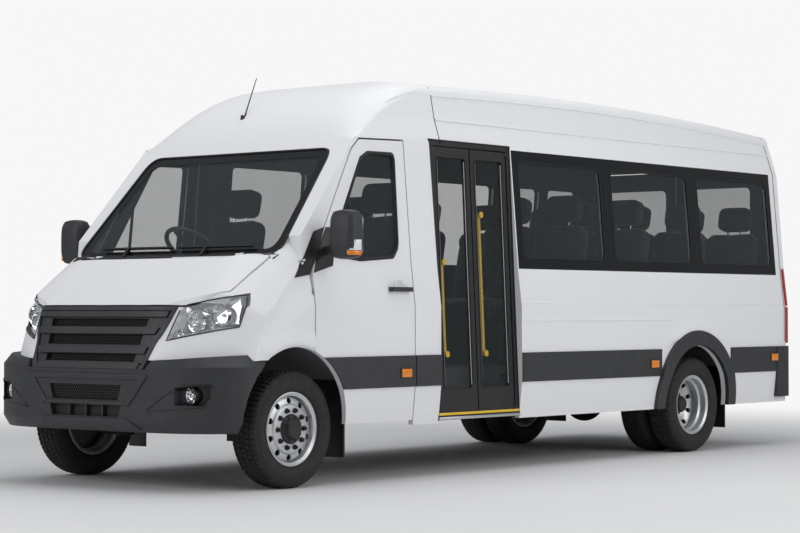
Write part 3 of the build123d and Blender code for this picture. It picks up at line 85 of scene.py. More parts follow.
def noise(nt, scale, detail=4.0, stretch=None):
    """Noise in the vehicle's own coordinates, in metres."""
    place = shader(nt, "TexCoord").outputs["Object"]
    if stretch:
        place = shader(nt, "Mapping", Vector=place, Scale=stretch).outputs["Vector"]
    return shader(nt, "TexNoise", Vector=place, Scale=scale, Detail=detail, Roughness=0.55).outputs["Fac"]


def two_tone(nt, source, low, high, start=NOISE_LOW, end=NOISE_HIGH):
    """A ramp from one colour to another."""
    ramp = shader(nt, "ValToRGB", Fac=source)
    for stop, position, colour in zip(ramp.color_ramp.elements, (start, end), (low, high)):
        stop.position = position
        stop.color = (*colour, 1)
    return ramp.outputs["Color"]


def span(nt, source, low, high):
    """Maps a noise to a range."""
    return shader(nt, "MapRange", Value=source, From_Min=NOISE_LOW, From_Max=NOISE_HIGH, To_Min=low,
                  To_Max=high).outputs["Result"]


def bump(nt, bsdf, scale, detail, strength, depth):
    """Fine relief from a noise."""
    relief = shader(nt, "Bump", Strength=strength, Distance=depth, Height=noise(nt, scale, detail))
    nt.links.new(relief.outputs["Normal"], bsdf.inputs["Normal"])


def surface(name, low, high, scale, rough, grain=None, metallic=0.0, coat=0.0, specular=0.5, stretch=None,
            sheen=0.0):
    """A procedural material: two close colours over noise, varied roughness and a fine bump."""
    m, nt, bsdf = new_material(name)
    set_sockets(nt, bsdf, Base_Color=two_tone(nt, noise(nt, scale, stretch=stretch), low, high),
                Roughness=span(nt, noise(nt, scale * 3), *rough), Metallic=metallic, Coat_Weight=coat,
                Coat_Roughness=0.06, Specular_IOR_Level=specular, Sheen_Weight=sheen)
    if grain:
        grain_scale, strength, depth = grain
        bump(nt, bsdf, grain_scale, 2.0, strength, depth)
    return m


def paint_material():
    """White car paint with faint orange peel, and painted shade that darkens it near the sill."""
    m, nt, bsdf = new_material("white_paint")
    unshaded = two_tone(nt, noise(nt, 60.0, 2.0), (0.845, 0.853, 0.870), (0.848, 0.856, 0.872))
    # Painted shade: a slightly darker paint colour near the sill, faded out upward by height.
    painted_shade = two_tone(nt, noise(nt, 24.0, 6.0), (0.822, 0.826, 0.834), (0.830, 0.835, 0.844), start=0.35)
    place = shader(nt, "SeparateXYZ", Vector=shader(nt, "TexCoord").outputs["Object"])
    rise = shader(nt, "MapRange", Value=place.outputs["Z"], From_Min=SHADE_LOW_Z, From_Max=SHADE_HIGH_Z)
    mix = nt.nodes.new("ShaderNodeMix")
    mix.data_type = "RGBA"
    nt.links.new(rise.outputs["Result"], mix.inputs["Factor"])
    nt.links.new(painted_shade, mix.inputs[6])
    nt.links.new(unshaded, mix.inputs[7])
    set_sockets(nt, bsdf, Base_Color=mix.outputs[2], Roughness=span(nt, noise(nt, 45.0, 2.0), 0.38, 0.386),
                Specular_IOR_Level=0.14, Coat_Weight=0.07, Coat_Roughness=0.14)
    bump(nt, bsdf, 160.0, 1.0, 0.001, 0.0004)
    return m


def glass_material(name, colour, alpha):
    """Thin tinted glass: lamps and the room behind show through it."""
    m, nt, bsdf = new_material(name)
    deeper = tuple(c * 0.9 for c in colour)
    set_sockets(nt, bsdf, Base_Color=two_tone(nt, noise(nt, 2.5), colour, deeper),
                Roughness=span(nt, noise(nt, 9.0), 0.02, 0.045), Alpha=alpha, Specular_IOR_Level=1.0,
                Coat_Weight=0.5, Coat_Roughness=0.01)
    return m


M = {
    "paint": paint_material(),
    "plastic": surface("grey_plastic", (0.026, 0.027, 0.030), (0.034, 0.035, 0.039), 9.0, (0.44, 0.56),
                       (900.0, 0.22, 0.0006)),
    "black": surface("black_plastic", (0.010, 0.010, 0.011), (0.016, 0.016, 0.018), 14.0, (0.34, 0.48),
                     (1100.0, 0.15, 0.0004)),
    "band": surface("black_glass", (0.007, 0.008, 0.009), (0.010, 0.011, 0.012), 2.0, (0.10, 0.14),
                    specular=0.3),
    "glass": glass_material("window_glass", (0.030, 0.042, 0.046), 0.30),
    "leaf_glass": glass_material("entrance_glass", (0.050, 0.066, 0.070), 0.17),
    "screen": glass_material("windscreen_glass", (0.045, 0.060, 0.064), 0.24),
    "lens": glass_material("lamp_lens", (0.80, 0.83, 0.85), 0.07),
    "rubber": surface("tyre_rubber", (0.017, 0.017, 0.018), (0.030, 0.030, 0.031), 30.0, (0.62, 0.80),
                      (700.0, 0.25, 0.0008), specular=0.35),
    "rim": surface("silver_rim", (0.56, 0.57, 0.58), (0.66, 0.67, 0.68), 26.0, (0.30, 0.44),
                   (600.0, 0.05, 0.0003), metallic=0.75),
    "steel": surface("frame_steel", (0.014, 0.014, 0.015), (0.030, 0.028, 0.027), 18.0, (0.50, 0.75),
                     (240.0, 0.30, 0.001), metallic=0.3),
    "vinyl": surface("floor_vinyl", (0.085, 0.088, 0.092), (0.12, 0.123, 0.128), 60.0, (0.50, 0.66),
                     (500.0, 0.3, 0.0008)),
    "fabric": surface("seat_fabric", (0.020, 0.023, 0.027), (0.036, 0.040, 0.045), 160.0, (0.78, 0.92),
                      (1500.0, 0.5, 0.0012), specular=0.25, sheen=0.3),
    "trim": surface("interior_trim", (0.055, 0.062, 0.066), (0.075, 0.082, 0.086), 8.0, (0.50, 0.65),
                    (900.0, 0.2, 0.0006)),
    "yellow": surface("yellow_enamel", (0.80, 0.50, 0.012), (0.86, 0.56, 0.02), 22.0, (0.25, 0.36),
                      (300.0, 0.05, 0.0004), coat=0.3),
    "mesh": surface("mesh_plastic", (0.006, 0.006, 0.006), (0.010, 0.010, 0.011), 30.0, (0.5, 0.7),
                    (900.0, 0.2, 0.0005)),
    "red": surface("red_lens", (0.38, 0.004, 0.006), (0.50, 0.008, 0.010), 40.0, (0.10, 0.18),
                   (320.0, 0.15, 0.0008), coat=0.6),
    "amber": surface("amber_lens", (0.80, 0.20, 0.008), (0.90, 0.28, 0.012), 60.0, (0.12, 0.2),
                     (420.0, 0.2, 0.0008), coat=0.5),
    "chrome": surface("reflector", (0.72, 0.73, 0.75), (0.85, 0.86, 0.88), 30.0, (0.06, 0.14), metallic=1.0),
    "honeycomb": surface("honeycomb_plastic", (0.018, 0.018, 0.019), (0.026, 0.026, 0.027), 30.0, (0.35, 0.5),
                         (900.0, 0.2, 0.0005)),
    "housing": surface("lamp_housing", (0.78, 0.79, 0.80), (0.88, 0.89, 0.90), 26.0, (0.10, 0.2),
                       metallic=0.6),
    "lens_core": surface("lamp_bulb", (0.80, 0.82, 0.85), (0.90, 0.92, 0.95), 30.0, (0.05, 0.1), coat=0.5),
    "lining": surface("roof_lining", (0.24, 0.245, 0.25), (0.28, 0.285, 0.29), 90.0, (0.75, 0.9),
                      (700.0, 0.3, 0.0008), specular=0.2),
    "alloy": surface("brushed_aluminium", (0.50, 0.51, 0.52), (0.62, 0.63, 0.64), 30.0, (0.25, 0.42),
                     (200.0, 0.1, 0.0004), metallic=0.9, stretch=(1, 0.02, 1)),
}
NODE_MATERIAL = {
    "paint": "bonnet wings cab_frame side_left side_right roof tail_frame left_door right_door "
             "left_tail_door right_tail_door",
    "plastic": "front_bumper grille side_mouldings tail_bumper left_door_trim right_door_trim",
    "black": "entry_frame mudflaps antenna wipers front_leaf rear_leaf",
    "band": "window_bands",
    "screen": "windscreen left_door_glass right_door_glass",
    "glass": "side_glass left_tail_glass right_tail_glass",
    "leaf_glass": "front_leaf_glass rear_leaf_glass",
    "lens": "front_lamps",
    "red": "tail_lamps",
    "rubber": "left_front_tyre right_front_tyre left_rear_tyres right_rear_tyres",
    "rim": "left_front_rim right_front_rim left_rear_rims right_rear_rims",
    "steel": "chassis front_axle left_knuckle right_knuckle rear_axle engine fuel_tank seat_legs",
    "vinyl": "floor step",
    "fabric": "seat_cushions seat_backs",
    "trim": "dashboard steering_wheel",
    "yellow": "front_leaf_rail rear_leaf_rail",
    "mesh": "grille_mesh",
}
for material, names in NODE_MATERIAL.items():
    for name in names.split():
        mesh = NODES[name].data
        mesh.materials.clear()
        mesh.materials.append(M[material])


# ------------------------------------------------------------------ shading of the CAD pieces
INTERIOR = {"roof": "lining", "cab_frame": "lining", "wings": "steel", "bonnet": "steel",
            **dict.fromkeys(("side_left", "side_right", "tail_frame", "left_door", "right_door",
                             "left_tail_door", "right_tail_door", "window_bands"), "trim")}
AXIS_FRONT, AXIS_REAR, AXIS_Z = st(0.2), st(5.3), 1.35
INWARD = 0.25           # a normal's least share towards the long axis
CAD_CREASE, BEVEL_ANGLE = math.radians(28), math.radians(40)
SHADING_WELD = 0.00002


def faces_inward(centre, normal):
    """True for a shell's inner face, which looks to the vehicle's long axis."""
    to_axis = Vector((0, min(max(centre.y, AXIS_FRONT), AXIS_REAR), AXIS_Z)) - centre
    return normal.dot(to_axis.normalized()) > INWARD


def smooth(mesh):
    mesh.polygons.foreach_set("use_smooth", [True] * len(mesh.polygons))


def dress(obj, inside=None):
    """Smooth shading split at creases, with a second material on a shell's inner faces."""
    mesh = obj.data
    smooth(mesh)
    if inside:
        mesh.materials.append(M[inside])
        world = obj.matrix_world
        turn = world.to_3x3()
        for polygon in mesh.polygons:
            if faces_inward(world @ polygon.center, turn @ polygon.normal):
                polygon.material_index = 1
    weld = obj.modifiers.new("weld", "WELD")
    weld.merge_threshold = SHADING_WELD
    split_edges = obj.modifiers.new("creases", "EDGE_SPLIT")
    split_edges.split_angle = CAD_CREASE
    weighted = obj.modifiers.new("normals", "WEIGHTED_NORMAL")
    weighted.keep_sharp = True


# ------------------------------------------------------------------ mesh tools
RESHAPED = {}           # CAD node name -> the piece of this script that stands for it
X_AXIS, FORWARD = Vector((1, 0, 0)), Vector((0, -1, 0))
SIDES = ((1, "left"), (-1, "right"))


def tree_of(*names):
    """A search tree over CAD nodes, in world coordinates."""
    verts, faces = [], []
    for name in names:
        obj = RESHAPED.get(name, NODES[name])
        base = len(verts)
        verts += [obj.matrix_world @ v.co for v in obj.data.vertices]
        faces += [[base + i for i in p.vertices] for p in obj.data.polygons]
    return BVHTree.FromPolygons(verts, faces)


def made_mesh(bm, name):
    """Ends a bmesh as a mesh."""
    mesh = bpy.data.meshes.new(name)
    bm.to_mesh(mesh)
    bm.free()
    return mesh


def linked(name, mesh):
    """A new object in the scene, on a mesh."""
    obj = bpy.data.objects.new(name, mesh)
    scene.collection.objects.link(obj)
    return obj


def evaluated(obj):
    """The mesh of an object after its modifiers."""
    return bpy.data.meshes.new_from_object(obj.evaluated_get(bpy.context.evaluated_depsgraph_get()))


def piece(name, bm, material, body, crease=32, bevel=0.0, segments=2, solid=0.0):
    """Turns a bmesh into a finished, smooth-shaded piece that rides on a body."""
    bmesh.ops.recalc_face_normals(bm, faces=bm.faces)
    mesh = made_mesh(bm, name)
    mesh.materials.append(M[material])
    smooth(mesh)
    obj = linked(name, mesh)
    if solid:
        thick = obj.modifiers.new("thickness", "SOLIDIFY")
        thick.thickness = solid
        thick.offset = 0
    if bevel:
        round_edges = obj.modifiers.new("bevel", "BEVEL")
        round_edges.width = bevel
        round_edges.segments = segments
        round_edges.limit_method = "ANGLE"
        round_edges.angle_limit = BEVEL_ANGLE
    split_edges = obj.modifiers.new("creases", "EDGE_SPLIT")
    split_edges.split_angle = math.radians(crease)
    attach(obj, body)
    return obj


def subtracted(obj, bm):
    """The mesh of an object with a closed bmesh cut out of it."""
    bmesh.ops.recalc_face_normals(bm, faces=bm.faces)
    mesh = made_mesh(bm, "cutter")
    cutter = linked("cutter", mesh)
    cut = obj.modifiers.new("cut", "BOOLEAN")
    cut.operation = "DIFFERENCE"
    cut.solver = "EXACT"
    cut.object = cutter
    bpy.context.view_layer.update()
    done = evaluated(obj)
    obj.modifiers.remove(cut)
    bpy.data.objects.remove(cutter)
    bpy.data.meshes.remove(mesh)
    return done


def box(x0, y0, x1, y1):
    """The corners of an upright rectangle."""
    return [(x0, y0), (x1, y0), (x1, y1), (x0, y1)]


def add_grid(bm, rows, close_rows=False, close_columns=False, caps=False):
    """Quads over a grid of points; rows of equal length."""
    verts = [[bm.verts.new(p) for p in row] for row in rows]
    n, m = len(rows), len(rows[0])
    for i in range(n if close_rows else n - 1):
        for j in range(m if close_columns else m - 1):
            a, b = verts[i], verts[(i + 1) % n]
            bm.faces.new((a[j], a[(j + 1) % m], b[(j + 1) % m], b[j]))
    if caps:
        bm.faces.new(verts[0])
        bm.faces.new(list(reversed(verts[-1])))


def add_turned(bm, profile, centre, along=Vector((1, 0, 0)), sides=48, closed=False):
    """A profile of (radius, distance along the axis) points turned about an axis through centre."""
    along = along.normalized()
    side = along.orthogonal().normalized()
    up = along.cross(side)
    rows = []
    for i in range(sides):
        a = 2 * math.pi * i / sides
        spoke = side * math.cos(a) + up * math.sin(a)
        rows.append([centre + along * d + spoke * r for r, d in profile])
    add_grid(bm, rows, close_rows=True, close_columns=closed)


def add_tube(bm, points, radius, sides=10, closed=False):
    """A round bar along a path."""
    points = [Vector(p) for p in points]
    n = len(points)
    rings, normal = [], None
    for i, p in enumerate(points):
        before = points[i - 1] if i or closed else p
        after = points[(i + 1) % n] if i < n - 1 or closed else p
        tangent = (after - before).normalized()
        normal = tangent.orthogonal() if normal is None else normal - tangent * normal.dot(tangent)
        normal.normalize()
        binormal = tangent.cross(normal)
        r = radius[i] if isinstance(radius, (list, tuple)) else radius
        rings.append([p + (normal * math.cos(a) + binormal * math.sin(a)) * r
                      for a in (2 * math.pi * k / sides for k in range(sides))])
    add_grid(bm, rings, close_rows=closed, close_columns=True, caps=not closed)


def add_prism(bm, points, depth):
    """A closed flat outline pushed through a depth vector."""
    depth = Vector(depth)
    n = len(points)
    near = [bm.verts.new(Vector(p)) for p in points]
    far = [bm.verts.new(Vector(p) + depth) for p in points]
    bm.faces.new(near)
    bm.faces.new(list(reversed(far)))
    for i in range(n):
        bm.faces.new((near[i], far[i], far[(i + 1) % n], near[(i + 1) % n]))


def add_block(bm, low, high):
    """A rectangular block between two corners; its piece's bevel rounds it."""
    (x0, y0, z0), (x1, y1, z1) = low, high
    add_prism(bm, [(x0, y0, z0), (x1, y0, z0), (x1, y1, z0), (x0, y1, z0)], (0, 0, z1 - z0))


def rounded(points, radius, steps=5):
    """A flat outline with its corners turned into arcs; 2D points."""
    out = []
    n = len(points)
    for i, p in enumerate(points):
        p, a, b = Vector(p), Vector(points[i - 1]), Vector(points[(i + 1) % n])
        da, db = (a - p), (b - p)
        r = min(radius, da.length * 0.45, db.length * 0.45)
        start, end = p + da.normalized() * r, p + db.normalized() * r
        for k in range(steps + 1):
            t = k / steps
            out.append(start * (1 - t) ** 2 + p * 2 * t * (1 - t) + end * t * t)
    return out


def resampled(points, gap, closed=True):
    """The same outline with points no further apart than gap."""
    out = []
    n = len(points)
    for i in range(n if closed else n - 1):
        a, b = Vector(points[i]), Vector(points[(i + 1) % n])
        count = max(1, math.ceil((b - a).length / gap))
        out += [a.lerp(b, k / count) for k in range(count)]
    if not closed:
        out.append(Vector(points[-1]))
    return out


def inset_outline(points, amount):
    """An outline drawn in by an amount; counter-clockwise 2D points."""
    out = []
    n = len(points)
    for i in range(n):
        a, p, b = Vector(points[i - 1]), Vector(points[i]), Vector(points[(i + 1) % n])
        d = ((p - a).normalized() + (b - p).normalized())
        d = d.normalized() if d.length > 1e-6 else (b - a).normalized()
        out.append(p + Vector((-d.y, d.x)) * amount)
    return out


def ccw(points):
    area = sum(Vector(points[i - 1]).cross(Vector(points[i])) for i in range(len(points)))
    return list(points) if area > 0 else list(reversed(points))


NUDGES = [(0, 0)] + [(dx * step, dz * step) for step in (0.004, 0.012, 0.03)
                     for dx in (-1, 0, 1) for dz in (-1, 0, 1) if dx or dz]


def cast_front(tree, x, z, lift):
    """The point of a surface seen from ahead at (x, z), moved forward by lift."""
    for dx, dz in NUDGES:
        hit = tree.ray_cast(Vector((x + dx, -6.0, z + dz)), Vector((0, 1, 0)))[0]
        if hit:
            return Vector((x, hit.y - lift, z))
    raise ValueError(f"nothing ahead at {x:.3f}, {z:.3f}")


def cast_side(tree, y, z, lift, direction=1):
    """The point of a surface seen from the side at (y, z), moved outward by lift."""
    for dy, dz in NUDGES:
        hit = tree.ray_cast(Vector((direction * 3.0, y + dy, z + dz)), Vector((-direction, 0, 0)))[0]
        if hit:
            return Vector((hit.x + direction * lift, y, z))
    raise ValueError(f"nothing beside at {y:.3f}, {z:.3f}")


def add_band(bm, outer, inner):
    """Quads between two closed loops with equal numbers of points."""
    a = [bm.verts.new(p) for p in outer]
    b = [bm.verts.new(p) for p in inner]
    n = len(a)
    for i in range(n):
        bm.faces.new((a[i], a[(i + 1) % n], b[(i + 1) % n], b[i]))


# ------------------------------------------------------------------ curved forms over the CAD's straight ones
def flowing(points, steps=8):
    """A smooth line through 2D points."""
    points = [Vector(p) for p in points]
    ends = [2 * points[0] - points[1]] + points + [2 * points[-1] - points[-2]]
    out = []
    for i in range(1, len(ends) - 2):
        a, b, c, d = ends[i - 1:i + 3]
        for k in range(steps):
            t = k / steps
            out.append(0.5 * (2 * b + (c - a) * t + (2 * a - 5 * b + 4 * c - d) * t * t
                              + (3 * b - a - 3 * c + d) * t ** 3))
    out.append(points[-1])
    return out


def redrawn(old, new):
    """The move, and the distance, of a point beside an old line that belongs beside a new one."""
    old, new = resampled(old, 0.004, closed=False), resampled(new, 0.004, closed=False)
    old_tree, new_tree = KDTree(len(old)), KDTree(len(new))
    for points, tree in ((old, old_tree), (new, new_tree)):
        for i, p in enumerate(points):
            tree.insert((p.x, p.y, 0), i)
        tree.balance()
    moves = [new_tree.find((p.x, p.y, 0))[0].xy - p for p in old]

    def move(x, y):
        found = old_tree.find((x, y, 0))
        return moves[found[1]], found[2]
    return move


def fading(distance, near=0.06, far=0.32):
    """A weight of 1 up to a near distance from a line, down to 0 at a far one."""
    return min(1.0, max(0.0, (far - distance) / (far - near)))


NOSE_PLAN = redrawn([(0, -0.700), (0.450, -0.700), (0.610, -0.640), (0.900, -0.460), (1.005, -0.345),
                     (1.400, 0.300)],
                    [(0, -0.704)] + flowing([(0.300, -0.704), (0.450, -0.697), (0.600, -0.655),
                                             (0.760, -0.570), (0.880, -0.470), (1.000, -0.345),
                                             (1.062, -0.245), (1.124, -0.145), (1.400, 0.300)]))
HOOD = redrawn([(0, 0), (0.300, -0.005), (0.610, -0.022), (0.820, -0.100), (0.915, -0.215), (1.035, -0.350)],
               flowing([(0, 0), (0.320, -0.006), (0.610, -0.026), (0.760, -0.066), (0.860, -0.135),
                        (0.935, -0.230), (1.035, -0.400)]))
BUMPER_PLAN = redrawn([(0, -0.775), (0.500, -0.775), (0.640, -0.753), (0.820, -0.680), (0.965, -0.560),
                       (1.020, -0.450), (1.020, 0.300)],
                      [(0, -0.775)] + flowing([(0.380, -0.775), (0.600, -0.758), (0.770, -0.705),
                                               (0.900, -0.620), (0.970, -0.530), (1.008, -0.440),
                                               (1.013, -0.350), (1.014, -0.260), (1.014, 0.300)]))
HEADER, CAP_MIDDLE, CAP_SEAM = (0.595, 2.107), (0.900, 2.368), (1.420, 2.525)
DOME_START_Z = 2.090
DOME_DROPS = [(HEADER[0], 0.025), (CAP_MIDDLE[0], 0.170), (CAP_SEAM[0], 0.200)]     # station, side's drop
DOME_HALF, DOME_EDGE, DOME_POWER = 0.9, 0.93, 9
THINNEST_CAP = 0.003
WAIST_Z, CANT, SHOULDER = 1.310, (0.900, 2.095), (0.850, 2.250)
CROWN_HALF, CROWN_DROP = 0.740, 0.050


def through_three(points, s):
    """The value at s of the curve through three (place, value) points."""
    (s0, a), (s1, b), (s2, c) = points
    return (a * (s - s1) * (s - s2) / ((s0 - s1) * (s0 - s2))
            + b * (s - s0) * (s - s2) / ((s1 - s0) * (s1 - s2))
            + c * (s - s0) * (s - s1) / ((s2 - s0) * (s2 - s1)))


def cap_arc(s):
    """Height of the roof cap's middle line, an arc through three points."""
    (x0, y0), (x1, y1), (x2, y2) = HEADER, CAP_MIDDLE, CAP_SEAM
    d = 2 * (x0 * (y1 - y2) + x1 * (y2 - y0) + x2 * (y0 - y1))
    u = ((x0**2 + y0**2) * (y1 - y2) + (x1**2 + y1**2) * (y2 - y0) + (x2**2 + y2**2) * (y0 - y1)) / d
    v = ((x0**2 + y0**2) * (x2 - x1) + (x1**2 + y1**2) * (x0 - x2) + (x2**2 + y2**2) * (x1 - x0)) / d
    radius = math.hypot(x0 - u, y0 - v)
    s = min(max(s, x0 - 0.05), x2)
    return v + math.sqrt(max(0.0, radius**2 - (s - u)**2))


def crown_line(x, crown):
    """Height of the roof's shallow middle at a distance from the middle."""
    return crown - CROWN_DROP * (x / CROWN_HALF) ** 2


def roof_edge(crown):
    """The roof section from its shallow middle down to the cant, for a crown height."""
    return [(CROWN_HALF, crown - CROWN_DROP), (0.799, crown - 0.0695), (0.822, crown - 0.125), SHOULDER, CANT]


def section_top(x, crown):
    """Height of the body section's outline at a distance from the middle."""
    if x < CROWN_HALF:
        return crown_line(x, crown)
    points = roof_edge(crown)
    for (x0, z0), (x1, z1) in zip(points, points[1:]):
        if x <= x1:
            return z0 + (z1 - z0) * (x - x0) / (x1 - x0)
    return points[-1][1]


def domed(p):
    """Lowers the roof cap towards its sides."""
    s, x = p.y - st(0), abs(p.x)
    if p.z < DOME_START_Z or s > CAP_SEAM[0] or s < HEADER[0] - 0.04:
        return p
    most = through_three(DOME_DROPS, s)
    arc, section = cap_arc(s), section_top(x, CAP_SEAM[1])
    old = min(arc, section)
    new = min(arc - max(0.0, most) * (min(x, DOME_EDGE) / DOME_HALF) ** DOME_POWER, section)
    if old - DOME_START_Z < THINNEST_CAP:
        return p
    share = max(new - DOME_START_Z, 0.0) / (old - DOME_START_Z)
    return Vector((p.x, p.y, DOME_START_Z + (p.z - DOME_START_Z) * share))


def within(value, start, end):
    """0 at start and 1 at end, clamped; the ends may run either way."""
    return min(max((value - start) / (end - start), 0.0), 1.0)


LET_OUT, LET_OUT_X, LET_OUT_REACH = 0.040, 0.455, 0.15
DRAWN_IN, DRAWN_IN_X, DRAWN_IN_REACH = 0.033, 0.615, 0.115


def grille_shift(x, z):
    """Sideways move of the grille's edge: drawn in above, let out below."""
    above = within(z, 0.862, 1.062) * within(z, 1.20, 1.10)
    below = within(z, 0.862, 0.702) * within(z, 0.58, 0.66)
    wider = LET_OUT * below * max(0.0, 1 - abs(x - LET_OUT_X) / LET_OUT_REACH)
    return wider - DRAWN_IN * above * max(0.0, 1 - abs(x - DRAWN_IN_X) / DRAWN_IN_REACH)


def grille_fitted(p):
    """A point moved by the grille's shift, and the side it lies on."""
    side = 1 if p.x >= 0 else -1
    return Vector((p.x + side * grille_shift(abs(p.x), p.z), p.y, p.z)), side


NOSE_LEAN, NOSE_MIDDLE_Z = 0.35, 0.860
HOOD_SLOPE, HOOD_EDGE, HOOD_FADE = 0.782, (-0.640, 1.055), (0.05, 0.20)


def nosed(p):
    """Carries a point of the nose from straight to curved plans and sections."""
    p, side = grille_fitted(p)
    s = p.y - st(0)
    move, distance = NOSE_PLAN(abs(p.x), s - NOSE_LEAN * (p.z - NOSE_MIDDLE_Z))
    weight = fading(distance)
    x, s, z = abs(p.x) + move.x * weight, s + move.y * weight, p.z
    move, distance = HOOD(x, z - HOOD_EDGE[1] - HOOD_SLOPE * (s - HOOD_EDGE[0]))
    weight = fading(distance, *HOOD_FADE)
    return Vector((side * (x + move.x * weight), st(s), z + move.y * weight))


def bumpered(p):
    """Carries a point of the bumper from a straight-sided to a curved plan."""
    p, side = grille_fitted(p)
    move, distance = BUMPER_PLAN(abs(p.x), p.y - st(0))
    weight = fading(distance)
    return Vector((p.x + side * move.x * weight, p.y + move.y * weight, p.z))


HINGE_STATION, HINGE_HEIGHTS, HINGE_REACH = 0.12, (0.850, 1.130), (0.05, 0.032)


def unhinged(p):
    """Carries the knuckle of a cab door's hinge back into the panel's surface."""
    along, rise = HINGE_REACH
    if abs(p.y - st(HINGE_STATION)) > along or min(abs(p.z - z) for z in HINGE_HEIGHTS) > rise:
        return p
    half = side_x(p.z)
    return Vector((max(-half, min(half, p.x)), p.y, p.z))


def winged(p):
    """What a wing needs: the nose's curves, and no hinge knuckles."""
    return nosed(unhinged(p))


ENTRY_FRONT, ENTRY_REAR, ENTRY_LOW, ENTRY_HIGH = 1.300, 2.160, 0.345, 2.120
LOW_HALF, HIGH_HALF = 0.972, 0.888
FRAME_DEEP, FRAME_PROUD = 0.062, 0.006


def entry_plane_x(z):
    """Half-width of the entrance doors' leaning plane at a height."""
    return LOW_HALF - (LOW_HALF - HIGH_HALF) * (z - ENTRY_LOW) / (ENTRY_HIGH - ENTRY_LOW)


def flush_frame(p):
    """Keeps the entrance frame within the doors' leaning plane."""
    plane_x = entry_plane_x(p.z)
    return Vector((min(max(p.x, plane_x - FRAME_DEEP), plane_x + FRAME_PROUD), p.y, p.z))


MIRROR_X, MIRROR_S, MIRROR_Z = 1.165, 0.205, 1.480
MIRROR_HALF, MIRROR_BULGE = (0.095, 0.060, 0.145), 0.012
NARROWER_ABOVE, NARROWER_BELOW, MIRROR_THINNER = 0.16, 0.12, 0.25       # shares lost at the head and foot


def soft_mirror(p):
    """Rounds a mirror housing: drawn in above and below, bulged ahead."""
    half_x, half_y, half_z = MIRROR_HALF
    u, v, w = (abs(p.x) - MIRROR_X) / half_x, (p.y - st(MIRROR_S)) / half_y, (p.z - MIRROR_Z) / half_z
    if max(abs(u), abs(v), abs(w)) > 1.02:
        return p
    bulge = MIRROR_BULGE * (1 - u * u) * (1 - w * w) if v < 0 else 0
    x = MIRROR_X + half_x * u * (1 - (NARROWER_ABOVE if w > 0 else NARROWER_BELOW) * abs(w) ** 5)
    y = st(MIRROR_S) + half_y * v * (1 - MIRROR_THINNER * abs(w) ** 5) - bulge
    z = MIRROR_Z + half_z * w * (1 - 0.10 * abs(u) ** 3 - 0.06 * abs(v) ** 3)
    return Vector((x if p.x > 0 else -x, y, z))


SIDE_SECTION = [(0.975, 0.330), (1.000, 0.567), (1.000, 1.060), (0.968, WAIST_Z), CANT, SHOULDER]


def side_x(z):
    """Half-width of the body's outer face at a height."""
    for (x0, z0), (x1, z1) in zip(SIDE_SECTION, SIDE_SECTION[1:]):
        if z <= z1:
            return x0 + (x1 - x0) * (z - z0) / (z1 - z0)
    return SIDE_SECTION[-1][0]


def near_mirror(p):
    return abs(p.x) > 1.06 and p.z > 1.30


def near_nose(p):
    return p.y < st(0.3)


def near_cap(p):
    return p.z > 2.0 and st(0.45) < p.y < st(1.45)


UNCUT = 99.0            # longer than any edge
MOST_CUTS, CAD_WELD = 7, 0.00003


def reshape(node, function, body, slot_name, longest=UNCUT, region=None):
    """Replaces a CAD node by its own form carried through a function of place, if one is given."""
    source = NODES[node]
    bm = bmesh.new()
    bm.from_mesh(source.data)
    bm.transform(source.matrix_world)
    bmesh.ops.remove_doubles(bm, verts=bm.verts, dist=CAD_WELD)
    bmesh.ops.triangulate(bm, faces=bm.faces)
    for _ in range(MOST_CUTS):
        long_edges = [e for e in bm.edges if e.calc_length() > longest
                      and (region is None or region((e.verts[0].co + e.verts[1].co) / 2))]
        if not long_edges:
            break
        bmesh.ops.subdivide_edges(bm, edges=long_edges, cuts=1)
        bmesh.ops.triangulate(bm, faces=[f for f in bm.faces if len(f.verts) > 3])
    for v in bm.verts:
        v.co = function(v.co) if function else v.co
    mesh = made_mesh(bm, f"{node}_form")
    for material in source.data.materials:
        mesh.materials.append(material)
    obj = linked(f"{node}_form", mesh)
    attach(obj, body)
    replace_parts(obj, node)
    RESHAPED[node] = obj


for row in (
        ("bonnet", nosed, "bonnet", "white_paint", 0.05),
        ("wings", winged, "body", "white_paint", 0.05, near_nose),
        ("left_door", unhinged, "left_cab_door", "white_paint"),
        ("right_door", unhinged, "right_cab_door", "white_paint"),
        ("grille", nosed, "body", "grey_plastic", 0.06),
        ("grille_mesh", nosed, "body", "mesh", 0.06),
        ("front_lamps", nosed, "body", "lamp_clear", 0.04),
        ("front_bumper", bumpered, "body", "grey_plastic", 0.05),
        ("entry_frame", flush_frame, "body", "black_plastic", 0.25),
        ("left_door_trim", soft_mirror, "left_cab_door", "grey_plastic", 0.025, near_mirror),
        ("right_door_trim", soft_mirror, "right_cab_door", "grey_plastic", 0.025, near_mirror),
        ("cab_frame", domed, "body", "white_paint", 0.05, near_cap),
        ("side_left", None, "body", "white_paint"),
        ("window_bands", None, "body", "black_glass"),
        ("side_glass", None, "body", "tinted_glass")):
    reshape(*row)

